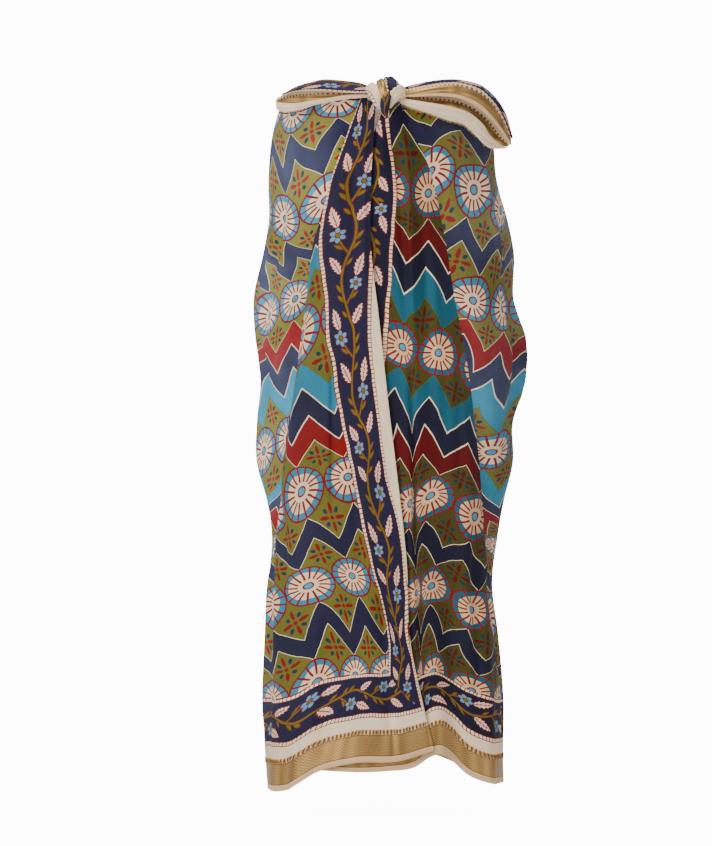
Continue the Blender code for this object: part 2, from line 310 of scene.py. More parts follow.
def sprig(colour, aside, upright, inside):
    """Four red petals in a cross, four grey-blue ones between them, and a red dot."""
    far, near = work("MAXIMUM", aside, upright), work("MINIMUM", aside, upright)
    petal = oval(far - PETAL_OFF, near, PETAL_HALF_LENGTH, PETAL_HALF_WIDTH)
    out, aslant = (far + near) * DIAGONAL - BUD_OFF, (far - near) * DIAGONAL
    bud = oval(out, aslant, BUD_HALF_LENGTH, BUD_HALF_WIDTH)
    dot = square(far) + square(near) < DOT_RADIUS**2
    colour = paint(colour, bud & inside, GREY_BLUE)
    return paint(colour, (petal | dot) & inside, with_painted_shade(RED, SHADED_RED))


def rosette(colour, aside, upright, unsteady):
    """A cream wheel with a sky-blue ring, a red rim and spokes, and a blue eye."""
    reach = work("SQRT", square(aside) + square(upright))
    around = work("ARCTAN2", upright, aside)
    colour = paint(colour, reach < WHEEL_RADIUS, with_painted_shade(CREAM, SHADED_CREAM))
    colour = paint(colour, within(reach, RING_START + unsteady * RING_UNSTEADY, RING_END), with_painted_shade(SKY, SHADED_SKY))
    spoke = (swing(around, math.pi / SPOKES) * reach < SPOKE_HALF) & within(reach, SPOKE_START, SPOKE_END)
    colour = paint(colour, spoke | within(reach, RIM_START, RIM_END) | (reach < EYE_RIM), RIM_RED)
    return paint(colour, reach < EYE_RADIUS, SKY)


def field_print(x, y, unsteady, through):
    """The whole field. Each row of diamonds is found by how many bands have been passed on the way up."""
    up = y - FIELD_FOOT
    wave = swing((x - FIRST_ROSETTE) * (2 / REPEAT), 1.0)
    lean, turned = up - wave * TOOTH, up + wave * TOOTH
    single = (STEP - 2 * NECK - TOOTH) / 2
    triple = (WIDE_STEP - 2 * NECK - TOOTH) / 2
    passed = [
        lean > NECK + single,
        turned > STEP + NECK + TOOTH + single,
        lean > 2 * STEP + NECK + triple,
        turned > 2 * STEP + WIDE_STEP + NECK + TOOTH + triple,
        lean > 2 * STEP + 2 * WIDE_STEP + NECK + single,
        turned > 3 * STEP + 2 * WIDE_STEP + NECK + TOOTH + single,
    ]
    middle = (passed[0] + passed[1] + passed[4] + passed[5]) * STEP + (passed[2] + passed[3]) * WIDE_STEP
    from_row = up - middle
    odd = passed[0] - passed[1] + passed[2] - passed[3] + passed[4] - passed[5]
    from_neck = abs(odd - wave)
    upright = abs(from_row)
    edge = upright - NECK - from_neck * TOOTH
    colour = band_colours(passed, from_row > 0.0, edge, through)
    inside = edge < 0.0
    colour = paint(colour, inside, with_painted_shade(OLIVE, SHADED_OLIVE))
    colour = sprig(colour, (1.0 - from_neck) * (REPEAT / 2), abs(upright - SPRIG_OFF), inside)
    return rosette(colour, from_neck * (REPEAT / 2), upright, unsteady)


print("repeats along the wrap", round((CLOTH_ALONG - 2 * BORDER) / REPEAT, 1))

# %% [markdown]
# All round the field goes a leafy border, mitred at the corners: a cream margin, a row of cream squares
# between red lines, a navy band with a wavy vine, and a second row of squares. The vine is one motif in a
# 65 mm cell, drawn again on the other side in the next cell, as a block printer turns the block. Everything
# in the cell is an oval, a leaf along a line, or a distance from the stem's wave.

# %% The vine border
VINE_MIDDLE = 49.5
VINE_CELL = 65.0
CELL_START = 5.0
STEM_SWING = 8.0
STEM_HALF = 1.25
SQUARE_PITCH = 5.3
SQUARES_WIDTH = 6.5
BAR_HALF = 0.62
RAIL = 1.1
MARGIN = 15.0
UNDER_VINE = 1165.5
HEM_VINE = 1293.5

VINE_GOLD = ink(100, 97, 22)
FLOWER_BLUE = ink(64, 150, 186)
LEAF_CREAM = ink(232, 192, 172)
# Each leaf and leaflet is its base, its tip and its half width.
LEAVES = (
    ((41.0, -12.0), (70.0, -21.5), 4.7),
    ((45.5, 8.0), (71.5, 21.0), 4.4),
)
LEAFLETS = (
    ((9.0, 4.0), (20.0, 14.5), 1.9),
    ((21.0, 6.8), (33.0, 16.0), 1.9),
    ((12.0, -3.5), (20.0, -15.0), 1.8),
    ((56.0, 0.5), (64.5, -7.5), 1.7),
)
LEAF_TEETH, TOOTH_FROM, TOOTH_DEPTH = 6.0, 0.72, 0.52
LEAF_MARGIN, RIB_HALF = 1.3, 0.55
VEIN_PITCH, VEIN_HALF, VEIN_SLANT = 4.8, 0.45, 1.3
LEAFLET_MARGIN = 0.75
STEM_MARGIN, BRANCH_THINNER = 0.9, 0.4
FLOWER = (31.5, -11.6)
FLOWER_RADIUS, FLOWER_LOBES, LOBE_HEIGHT = 8.0, 6, 1.5
FLOWER_EYE_RIM, FLOWER_EYE = 3.7, 2.5
OUTLINE = 1.2
BRANCH = ((6.0, 1.5), (24.0, -9.5))


def along_line(s, q, start, end):
    """How far a point lies along a line, 0 to 1, and how far beside it."""
    length = math.dist(start, end)
    ds, dq = (end[0] - start[0]) / length, (end[1] - start[1]) / length
    from_s, from_q = s - start[0], q - start[1]
    return (from_s * ds + from_q * dq) * (1 / length), abs(from_q * ds - from_s * dq), length


def serrated_leaf(colour, s, q, base, tip, half_width):
    """A cream leaf with a toothed red margin, a rib and slanting veins."""
    along, beside, length = along_line(s, q, base, tip)
    bow = along * (1.0 - along) * (1.45 - along * 0.7) * (4 * half_width)
    tooth = work("FRACT", along * LEAF_TEETH)
    margin = bow * (TOOTH_FROM + tooth * TOOTH_DEPTH)
    colour = paint(colour, (beside < margin + LEAF_MARGIN) & within(along, -0.04, 1.05), RIM_RED)
    blade = (beside < margin - 0.1) & within(along, 0.02, 0.99)
    colour = paint(colour, blade, LEAF_CREAM)
    rib = (beside < RIB_HALF) & within(along, 0.0, 0.75)
    slanted = swing(along * length - beside * VEIN_SLANT, VEIN_PITCH / 2)
    vein = (slanted < VEIN_HALF) & (beside < bow * 0.6) & (along > 0.1)
    return paint(colour, (rib | vein) & blade, RIM_RED)


def small_leaf(colour, s, q, base, tip, half_width):
    """A gold leaflet with a red outline."""
    along, beside, _ = along_line(s, q, base, tip)
    bow = along * (1.0 - along) * (4 * half_width)
    colour = paint(colour, (beside < bow + LEAFLET_MARGIN) & within(along, -0.02, 1.08), RIM_RED)
    return paint(colour, beside < bow - 0.1, VINE_GOLD)


def flower(colour, s, q):
    """Six blue petals with red gaps and a gold eye."""
    aside, upright = s - FLOWER[0], q - FLOWER[1]
    reach = work("SQRT", square(aside) + square(upright))
    lobes = work("COSINE", work("ARCTAN2", upright, aside) * float(FLOWER_LOBES))
    outline = FLOWER_RADIUS + lobes * LOBE_HEIGHT
    colour = paint(colour, reach < outline + OUTLINE, RIM_RED)
    colour = paint(colour, (reach < outline) & (lobes > -0.8), FLOWER_BLUE)
    colour = paint(colour, reach < FLOWER_EYE_RIM, RIM_RED)
    return paint(colour, reach < FLOWER_EYE, VINE_GOLD)


def vine_band(along, inward):
    """The navy band: along its length, and inward from the garment's edge."""
    shifted = (along - CELL_START) * (1 / VINE_CELL)
    cell = work("FLOOR", shifted)
    s = (shifted - cell) * VINE_CELL + CELL_START
    side = work("FLOORED_MODULO", cell, 2.0) * 2.0 - 1.0
    q = (inward - VINE_MIDDLE) * side
    colour = with_painted_shade(NAVY, SHADED_NAVY)
    for leaflet in LEAFLETS:
        colour = small_leaf(colour, s, q, *leaflet)
    way, beside, _ = along_line(s, q, *BRANCH)
    colour = paint(colour, (beside < STEM_HALF + 0.5) & within(way, 0.0, 1.0), RIM_RED)
    colour = paint(colour, (beside < STEM_HALF - BRANCH_THINNER) & within(way, 0.0, 1.0), VINE_GOLD)
    for leaf in LEAVES:
        colour = serrated_leaf(colour, s, q, *leaf)
    from_stem = abs(q - work("SINE", s * (math.pi / VINE_CELL)) * STEM_SWING)
    colour = paint(colour, from_stem < STEM_HALF + STEM_MARGIN, RIM_RED)
    colour = paint(colour, from_stem < STEM_HALF, VINE_GOLD)
    return flower(colour, s, q)


def squares_row(colour, along, inward, low):
    """Cream squares between two red lines, parted by red bars."""
    high = low + SQUARES_WIDTH
    row = within(inward, low, high)
    squares = within(inward, low + RAIL, high - RAIL) & (swing(along, SQUARE_PITCH / 2) > BAR_HALF)
    colour = paint(colour, row, RIM_RED)
    return paint(colour, row & squares, CREAM)


def border_print(colour, x, y):
    """The border on all four sides, laid over the field and mitred at the corners."""
    from_sides = work("MINIMUM", x, CLOTH_ALONG - x)
    from_ends = work("MINIMUM", y - ZARI_TOP, CLOTH_TALL - ZARI_TOP - y)
    inward = work("MINIMUM", from_sides, from_ends)
    upright = from_sides < from_ends
    far = x > CLOTH_ALONG / 2
    rising = y + far * (UNDER_VINE - y * 2.0)
    along = rising * upright + (HEM_VINE - x) * ~upright
    colour = paint(colour, inward < BORDER - SQUARES_WIDTH, vine_band(along, inward))
    colour = squares_row(colour, along, inward, BORDER - SQUARES_WIDTH)
    colour = paint(colour, inward < MARGIN, CREAM)
    return squares_row(colour, along, inward, MARGIN)


print("vine cells up each side", round((CLOTH_TALL - ZARI_TOP) / VINE_CELL, 1))


# %% [markdown]
# A gold band is woven in beside each selvage. It is metal thread, so it needs its own roughness and
# metallic value, which one mask switches on. A row of small loops tops it, and a plain cream selvage lies
# outside it. The crepe itself is matt, with a soft sheen, a fine grain in its bump, faint pressed lines
# from when it lay folded, and a print that is paler on the inside. Where it is stretched over the hips,
# light comes through and greys the colours, which an attribute of the mesh, `light_through`, controls.
# Where it lies over more cloth or gets little light, its dyes are darkened as painted shade, and a second
# attribute, `painted_shade_share`, says where.

# %% The cloth's two faces
GOLD = ink(226, 184, 116)
GOLD_DARK = ink(104, 66, 24)
SELVAGE = ink(222, 182, 136)
LOOP_GROUND, LOOP_GOLD = ink(224, 190, 148), ink(128, 86, 34)
PALE_THROUGH = ink(176, 186, 206)
LOOP_LINE, SELVAGE_LINE = ink(96, 62, 30), ink(96, 70, 40)
SELVAGE_WIDTH = 8.0
LOOPS_FROM = 34.5
LOOP_MIDDLE = 37.6
LOOP_PITCH = 5.6
WEAVE_LINES, WEAVE_LEAN, WEAVE_HALF_PITCH = 0.31, 0.3, 4.2
# How the painted shade across the gold band's small pleats repeats.
PLEAT_SHADE_TURN, PLEAT_SHADE_DRIFT = 0.21, 0.083
SLIP = 4.5
SLIP_SCALE, CLOUD_SCALE, GRAIN_SCALE, CREPE_SCALE = 26.0, 13.0, 1100.0, 520.0
PRESSED_ALONG, PRESSED_UP, PRESSED_HALF = 97.0, 116.0, 0.8
CLOUD_THROUGH, THROUGH_PALE = 1.6, 0.22
TONE, TONE_OF_GRAIN, TONE_OF_CLOUDS = 0.42, 0.66, 0.50
METALLIC, CREPE_ROUGHNESS, METAL_ROUGHNESS = 0.75, 0.78, 0.40
BUMP_STRENGTH, BUMP_DISTANCE = 0.32, 0.0007
FADE_INSIDE = 0.42


def gold_band(colour, x, from_selvage, grain):
    """The woven band, its loops and the selvage. Returns the colour and the mask of metal thread."""
    weave = swing(from_selvage * WEAVE_LINES + swing(x, WEAVE_HALF_PITCH) * WEAVE_LEAN, 0.5)
    # Painted shade: soft stripes of light and shade across the band's small pleats, mixed with the weave's
    # two golds and its grain.
    pleat_shade = work("SINE", x * PLEAT_SHADE_TURN + work("SINE", x * PLEAT_SHADE_DRIFT) * 2.0)
    weave_and_pleat_shade = weave * 1.1 + grain * 0.5 + pleat_shade * 0.1 - 0.12
    thread = paint(GOLD_DARK, weave_and_pleat_shade, GOLD)
    band = within(from_selvage, SELVAGE_WIDTH, ZARI_TOP)
    loop = oval(swing(x, LOOP_PITCH / 2), from_selvage - LOOP_MIDDLE, 1.5, 3.0)
    metal = within(from_selvage, SELVAGE_WIDTH, LOOPS_FROM) | (loop & band)
    colour = paint(colour, band, LOOP_GROUND)
    colour = paint(colour, metal, thread)
    colour = paint(colour, loop & band, LOOP_GOLD)
    colour = paint(colour, within(from_selvage, LOOPS_FROM - 0.9, LOOPS_FROM), LOOP_LINE)
    colour = paint(colour, from_selvage < SELVAGE_WIDTH, SELVAGE)
    colour = paint(colour, within(from_selvage, SELVAGE_WIDTH - 0.5, SELVAGE_WIDTH + 0.4), SELVAGE_LINE)
    return colour, metal


def cloth_place():
    """Where a point lies on the flat cloth, in millimetres, with the small slips of a hand-held block."""
    flat = add_node(Value.tree, "ShaderNodeUVMap", {}, uv_map="cloth").outputs[0]
    split = add_node(Value.tree, "ShaderNodeSeparateXYZ", {0: flat})
    slip = noise(flat, SLIP_SCALE, 3.0)
    parts = add_node(Value.tree, "ShaderNodeSeparateColor", {0: slip.outputs["Color"]})
    slip_x, slip_y, unsteady = (Value(output) for output in parts.outputs[:3])
    flat_x, flat_y = Value(split.outputs[0]) * 1000.0, Value(split.outputs[1]) * 1000.0
    return flat, flat_x, flat_y, flat_x + (slip_x - 0.5) * SLIP, flat_y + (slip_y - 0.5) * SLIP, unsteady


def noise(flat, scale, detail):
    inputs = {"Scale": scale, "Detail": detail, "Vector": flat}
    return add_node(Value.tree, "ShaderNodeTexNoise", inputs, noise_dimensions="2D")


def grain_noise(flat, scale, detail):
    return Value(noise(flat, scale, detail).outputs["Fac"])


def tone(colour, amount):
    """The colour, made lighter or darker all over by an amount around 1."""
    inputs = {0: colour, "Scale": amount}
    return Value(add_node(Value.tree, "ShaderNodeVectorMath", inputs, operation="SCALE").outputs[0])


def mesh_value(name):
    """A number that the mesh carries at each of its points."""
    return Value(add_node(Value.tree, "ShaderNodeAttribute", {}, attribute_name=name).outputs["Fac"])


def printed_cloth(name, fade):
    """One face of the cloth. fade is how much of the print is lost on it."""
    material, shader = new_material(name)
    Value.tree = material.node_tree
    flat, flat_x, flat_y, x, y, unsteady = cloth_place()
    cloudy = grain_noise(flat, CLOUD_SCALE, 3.0)
    through = mesh_value("light_through") * (cloudy * CLOUD_THROUGH)
    # Painted shade: how far each dye is darkened towards its shaded copy.
    Value.behind = mesh_value("painted_shade_share")
    colour = border_print(field_print(x, y, unsteady, through), x, y)
    from_selvage = work("MINIMUM", flat_y, CLOTH_TALL - flat_y)
    grain = grain_noise(flat, GRAIN_SCALE, 1.0)
    colour, metal = gold_band(colour, flat_x, from_selvage, grain)
    colour = paint(colour, (through * THROUGH_PALE) * ~metal, PALE_THROUGH)
    if fade:
        colour = paint(colour, fade * ~metal, CREAM)
    colour = tone(colour, TONE + grain * TONE_OF_GRAIN + cloudy * TONE_OF_CLOUDS)
    roughness = CREPE_ROUGHNESS - metal * (CREPE_ROUGHNESS - METAL_ROUGHNESS)
    set_inputs(shader, {"Base Color": colour, "Metallic": metal * METALLIC, "Roughness": roughness})
    set_inputs(shader, {"Sheen Weight": 0.03, "Sheen Roughness": 0.4, "Specular IOR Level": 0.2})
    lines_along = swing(flat_x + 40.0, PRESSED_ALONG) < PRESSED_HALF
    pressed = lines_along | (swing(flat_y + 60.0, PRESSED_UP) < PRESSED_HALF)
    relief = grain_noise(flat, CREPE_SCALE, 2.0) + pressed * 0.5
    inputs = {"Strength": BUMP_STRENGTH, "Distance": BUMP_DISTANCE, "Height": relief}
    set_inputs(shader, {"Normal": add_node(Value.tree, "ShaderNodeBump", inputs).outputs[0]})
    print(name, len(Value.tree.nodes), "nodes")
    return material


OUTSIDE = printed_cloth("printed_cloth", 0.0)
INSIDE = printed_cloth("printed_cloth_inside", FADE_INSIDE)

# %% [markdown]
# Now the form. Seen from above, the garment is a rounded section at every height, whose half-widths and
# depths come from one table. A point of the cloth is named by its turn from the front, in degrees, and its
# drop below the waist. These are the sizes of the solids in the frame, so the shells lie on them.

# %% The sizes of the garment
SQUARENESS = 2.35
TOP_DROP = -8.0
BACK_SEAM_TURN = 128.0
SIDE_LIMIT = 0.985
OVER_LIFT = 5.0
UNDER_DROP = 2.0
LIFT_START = 14.0
BACK_HEM = 864.0
# Turns round the back where the hem is the back's own, and where it starts to rise to that.
BACK_HEM_TURNS = (110, 155, 180)
MEAN_HEM = 900.0

SECTION_COLUMNS = ("below", "left", "right", "front", "back")
SECTIONS = (
    (-30, 132, 132, 97, 88),
    (0, 136, 136, 100, 92),
    (43, 147, 142, 105, 101),
    (110, 153, 147, 110, 117),
    (160, 152, 158, 111, 125),
    (200, 157, 165, 111, 128),
    (264, 168, 165, 110, 126),
    (316, 165, 181, 108, 121),
    (368, 156, 180, 107, 116),
    (420, 163, 167, 105, 111),
    (472, 164, 169, 103, 106),
    (524, 152, 157, 102, 103),
    (576, 146, 147, 101, 101),
    (628, 150, 140, 101, 100),
    (706, 153, 149, 102, 101),
    (784, 156, 156, 104, 103),
    (862, 155, 156, 106, 105),
    (910, 153, 157, 107, 106),
)

# Each line is a list of drops below the waist, and how far across it lies there.
LEFT_FOLD = (
    (0, -30), (43, -46), (108, -70), (153, -83), (186, -95), (269, -107), (377, -124), (495, -139),
    (560, -143), (910, -152),
)
RIGHT_FOLD = (
    (0, 17), (30, 26), (88, 56), (172, 78), (247, 91), (363, 112), (463, 125), (589, 138), (640, 142),
    (910, 156),
)
OVER_EDGE = (
    (0, -11), (43, -14), (110, -18), (200, -18), (290, -8), (416, 6), (498, 16), (600, 27), (706, 32),
    (790, 49), (846, 62), (910, 66),
)
UNDER_EDGE = (
    (0, -2), (22, -4), (38, -10), (69, -22), (110, -38), (180, -55), (316, -78), (524, -102), (706, -113),
    (910, -122),
)

# The hems go the other way: places across, and how low the cloth hangs there.
OVER_HEM = ((-155, 903), (-118, 896), (-87, 874), (-45, 862), (20, 858), (62, 846))
UNDER_HEM = ((-122, 871), (0, 872), (38, 867), (69, 851), (90, 861), (110, 879), (131, 890), (157, 894))

CREASE_COLUMNS = ("below", "depth", "inner_width", "outer_width")
LEFT_CREASE = (
    (0, 2, 14, 14),
    (110, 3, 12, 16),
    (190, 9, 9, 20),
    (300, 11, 9, 22),
    (460, 8, 9, 20),
    (600, 4, 14, 20),
    (910, 3, 18, 20),
)
RIGHT_CREASE = (
    (0, 3, 12, 12),
    (70, 7, 20, 9),
    (150, 12, 26, 8),
    (260, 12, 24, 9),
    (400, 9, 14, 16),
    (540, 8, 9, 18),
    (680, 4, 14, 18),
    (910, 3, 18, 18),
)
widths = [left + right for _, left, right, _, _ in SECTIONS]
print("waist", widths[1], "mm wide, hips", max(widths), "mm")

# %% [markdown]
# The large folds are the solids' own. The shells add what is too small for them: narrow creases that run
# from the knot, dents at the hips where the cloth catches, and soft waves that open towards the hem. Each
# is a row of a table, and no two are alike. A minus is a trough.

# %% Folds and creases
FOLD_COLUMNS = ("turn_top", "turn_hem", "start", "end", "width", "height")
FOLDS = {
    "front_over": (
        (-52, -56, 330, 700, 15, 3.0),
        (-34, -38, 560, 905, 22, -3.5),
        (-62, -52, 700, 1000, 20, 4.5),
        (-20, -6, 480, 900, 16, 2.5),
    ),
    "front_under": (
        (13, 27, 300, 740, 10, 3.5),
        (25, 38, 120, 560, 14, -3.0),
        (40, 52, 540, 980, 18, -6.0),
        (31, 38, 620, 1000, 12, 3.0),
        (66, 68, 600, 1000, 18, 4.0),
    ),
    "left_side": (
        (-82, -88, 120, 620, 18, 3.5),
        (-104, -100, 380, 980, 22, 4.5),
        (-96, -112, 60, 420, 16, -3.0),
        (-118, -116, 300, 760, 18, -3.5),
    ),
    "right_side": (
        (80, 76, 130, 520, 16, -4.0),
        (96, 92, 60, 470, 18, 4.0),
        (104, 108, 420, 980, 24, 4.5),
        (116, 122, 200, 640, 18, -3.5),
    ),
    "back": (
        (140, 146, 240, 1000, 26, 5.0),
        (158, 156, 330, 1000, 22, -5.0),
        (170, 176, 120, 760, 20, 3.5),
        (-172, -168, 420, 1000, 26, 5.5),
        (-158, -160, 260, 880, 20, -4.5),
        (-142, -147, 140, 640, 22, 3.5),
        (-138, -138, 600, 1000, 24, 5.0),
    ),
}
CREASES = {
    "front_over": (
        (-34, -36, 330, 560, 2.6, -2.2),
        (-30, -27, 60, 300, 6, 1.4),
        (-22, -20, 30, 210, 5, -1.6),
        (-14, -12, 20, 330, 5, 1.5),
        (-26, -14, 420, 700, 7, -1.8),
        (-48, -44, 200, 420, 9, 1.6),
        (-68, -62, 470, 720, 6, -1.6),
        (-44, -46, 640, 880, 9, 2.2),
        (-4, 6, 600, 880, 7, -2.0),
        (-58, -60, 760, 950, 8, -2.4),
    ),
    "front_under": (
        (8, 14, 60, 300, 5, -1.8),
        (14, 20, 40, 380, 5, 1.7),
        (21, 29, 70, 340, 7, -1.8),
        (30, 35, 180, 470, 7, 1.8),
        (15.5, 28, 290, 840, 4, -3.4),
        (44, 49, 300, 520, 6, -1.5),
        (52, 55, 430, 800, 8, 2.2),
        (60, 58, 560, 840, 7, -1.8),
        (72, 74, 700, 960, 8, -2.2),
    ),
    "left_side": (
        (-62, -74, 90, 330, 7, -2.2),
        (-70, -86, 160, 430, 6, 2.0),
        (-80, -78, 240, 390, 5, -2.4),
        (-90, -96, 400, 640, 9, -2.0),
        (-86, -84, 560, 880, 10, 2.6),
        (-110, -108, 120, 520, 12, 2.4),
    ),
    "right_side": (
        (62, 70, 40, 240, 7, 1.8),
        (72, 78, 150, 420, 6, -2.6),
        (86, 84, 200, 460, 6, 2.4),
        (90, 94, 330, 600, 8, -2.2),
        (82, 88, 560, 900, 10, -2.4),
        (110, 106, 100, 560, 12, -2.2),
    ),
    "back": (
        (148, 150, 60, 420, 12, -2.6),
        (134, 136, 380, 860, 14, -3.0),
        (164, 168, 420, 1000, 16, 3.0),
        (178, 180, 80, 520, 14, -2.6),
        (-166, -164, 60, 380, 12, 2.2),
        (-150, -152, 480, 1000, 16, 3.0),
        (-178, -176, 560, 1000, 15, -3.2),
        (-134, -136, 240, 600, 12, -2.4),
    ),
}
FOLD_STRENGTH = 1.4
CREASE_STRENGTH = 2.3
print("folds", sum(map(len, FOLDS.values())), "creases", sum(map(len, CREASES.values())))

# %% [markdown]
# A few short functions turn these tables into a form. A smooth curve goes through the points of each table,
# and the section at any height is a superellipse, which is rounder than a box and squarer than an ellipse,
# as hips under cloth are.

# %% Reading the tables


def table(rows, columns):
    """The table's columns by name, as arrays."""
    return {name: np.array([float(row[i]) for row in rows]) for i, name in enumerate(columns)}


def smooth(x, xs, ys):
    """A smooth curve through the points of a table, read at x."""
    x = np.clip(x, xs[0], xs[-1])
    slope = np.gradient(ys, xs)
    i = np.clip(np.searchsorted(xs, x, side="right") - 1, 0, len(xs) - 2)
    step = xs[i + 1] - xs[i]
    t = (x - xs[i]) / step
    rise = (2 * t**3 - 3 * t**2 + 1) * ys[i] + (3 * t**2 - 2 * t**3) * ys[i + 1]
    return rise + (t**3 - 2 * t**2 + t) * step * slope[i] + (t**3 - t**2) * step * slope[i + 1]


def read_line(rows, x):
    """The second column of a table of two, read at x in its first."""
    return smooth(x, *np.array(rows, dtype=float).T)


def read(rows, columns, name, x):
    columns_by_name = table(rows, columns)
    return smooth(x, columns_by_name[columns[0]], columns_by_name[name])


def ramp(x, start, length):
    """0 up to the start, 1 from a length further on, and even between them."""
    return np.clip((x - start) / length, 0, 1)


def ease(share):
    """The same way from 0 to 1, but slow at both ends."""
    return share**2 * (3 - 2 * share)


def signed(turn):
    """The same turn, written between -180 and 180 degrees."""
    return (turn + 180) % 360 - 180


def section(below):
    return [read(SECTIONS, SECTION_COLUMNS, name, below) for name in SECTION_COLUMNS[1:]]


def turn_at(across, below):
    """The turn round the body of a point seen from the front."""
    left, right, front, _ = section(below)
    width = np.where(across < 0, left, right)
    share = np.clip(np.abs(across) / width, 0, SIDE_LIMIT)
    depth = front * (1 - share**SQUARENESS) ** (1 / SQUARENESS)
    return np.degrees(np.arctan2(np.sign(across) * share * width, depth))


def on_section(turn, below):
    """The point of the plain wall at this turn, the direction out of it, and its distance from the middle."""
    left, right, front, back = section(below)
    angle = np.radians(turn)
    across, forward = np.sin(angle), np.cos(angle)
    width = np.where(across < 0, left, right)
    depth = np.where(forward > 0, front, back)
    power = SQUARENESS
    radius = ((np.abs(across) / width) ** power + (np.abs(forward) / depth) ** power) ** (-1 / power)
    x, y = radius * across, -radius * forward
    out_x = np.sign(x) * np.abs(x) ** (power - 1) / width**power
    out_y = np.sign(y) * np.abs(y) ** (power - 1) / depth**power
    length = np.hypot(out_x, out_y)
    return x, y, out_x / length, out_y / length, radius


def line_turn(rows, below):
    return turn_at(read_line(rows, below), below)


def hem_below(rows, turn):
    """How low the hem hangs at this turn: by its table in front, and a little higher across the back."""
    across, below = np.array(rows, dtype=float).T
    turns = turn_at(across, below)
    left, right = turns[0] < -80, turns[-1] > 80
    behind = np.array(BACK_HEM_TURNS)
    turns = np.concatenate([-behind[::-1], turns, behind])
    start, first = (BACK_HEM, OVER_HEM[0][1]) if left else (below[0], below[0])
    end, last = (BACK_HEM, UNDER_HEM[-1][1]) if right else (below[-1], below[-1])
    return smooth(turn, turns, np.concatenate([[start, start, first], below, [last, end, end]]))


# %% [markdown]
# A fold is a ridge with a bell's cross section, which swells and dies out along its length. Cloth that is
# drawn in also gathers: in small pleats that fan out from under the knot, and in uneven ones across the
# back of the waist, where the cloth is longer than the body is round.

# %% The height of folds and gathers
EASED_SHARE = 0.3
GATHER_CENTRE_BELOW = 12.0
GATHER_HEIGHT = 4.5
GATHER_START = 34.0
GATHER_GROWTH = 25.0
GATHER_REACH = 150.0
GATHER_WAVES = 13.0
WAIST_GATHER_HEIGHT = 1.5
WAIST_GATHER_REACH = 170.0
# Each wave of the back's gathers is how many go round the body, its share and its shift.
WAIST_WAVES = ((27, 1.0, 0.4), (41, 0.7, 1.9), (11, 0.5, 0.0))


def bump(x, width):
    return np.exp(-((x / width) ** 2))


def between(x, start, end):
    """Rises from 0 to 1 a little after start, and falls to 0 again at end."""
    length = EASED_SHARE * (end - start)
    return ease(ramp(x, start, length)) * ease(ramp(end - x, 0, length))


def folded(rows, turn, below, radius):
    """The height of a table's folds or creases."""
    height = np.zeros_like(turn)
    for row in rows:
        fold = dict(zip(FOLD_COLUMNS, row))
        along = ramp(below, fold["start"], fold["end"] - fold["start"])
        middle = fold["turn_top"] + (fold["turn_hem"] - fold["turn_top"]) * along
        away = np.radians(signed(turn - middle)) * radius
        height += fold["height"] * bump(away, fold["width"]) * between(below, fold["start"], fold["end"])
    return height


def gathers(x, below):
    """Small pleats that fan out from under the knot and fade."""
    reach = np.hypot(x, below - GATHER_CENTRE_BELOW)
    angle = np.arctan2(x, below - GATHER_CENTRE_BELOW)
    strength = ramp(reach, GATHER_START, GATHER_GROWTH) * (1 - ramp(reach, 0, GATHER_REACH))
    return GATHER_HEIGHT * strength * np.cos(GATHER_WAVES * angle + 0.6)


def waist_gathers(turn, below):
    """What is left over of the cloth, taken up across the back, most of all at the waist."""
    around = np.radians(turn)
    waves = sum(share * np.cos(count * around + shift) for count, share, shift in WAIST_WAVES)
    return WAIST_GATHER_HEIGHT * np.exp(-np.clip(below, 0, None) / WAIST_GATHER_REACH) * waves


def crease_beside(rows, below, gap, inner):
    """The hollow beside a large fold, which is narrower on one side of it than on the other."""
    depth = read(rows, CREASE_COLUMNS, "depth", below)
    width = read(rows, CREASE_COLUMNS, "inner_width" if inner else "outer_width", below)
    return -depth * bump(gap, width)


# %% [markdown]
# A stretch is a grid of points between two lines, raised or lowered by its folds, and by the hollows beside
# the two large ones. The left front lies over the right one, so it is lifted a little, and what it covers is
# flat. At the two back seams the stretches only meet, because the real cloth goes on without a seam there.

# %% A stretch of the wall
EDGE_FADE = 0.12
KNOT_GATHERS_WIDTH = 60
EDGES = {
    "front_over": (LEFT_FOLD, OVER_EDGE),
    "front_under": (UNDER_EDGE, RIGHT_FOLD),
    "right_side": (RIGHT_FOLD, None),
    "left_side": (None, LEFT_FOLD),
    "back": (None, None),
}
BACK_EDGES = {"right_side": (None, BACK_SEAM_TURN), "back": (BACK_SEAM_TURN, 360 - BACK_SEAM_TURN)}
BACK_EDGES["left_side"] = (-BACK_SEAM_TURN, None)


def stretch_edges(name, below):
    """The turns at which a stretch starts and ends."""
    ends = []
    for line, fixed in zip(EDGES[name], BACK_EDGES.get(name, (None, None))):
        ends.append(np.full_like(below, fixed) if line is None else line_turn(line, below))
    return ends


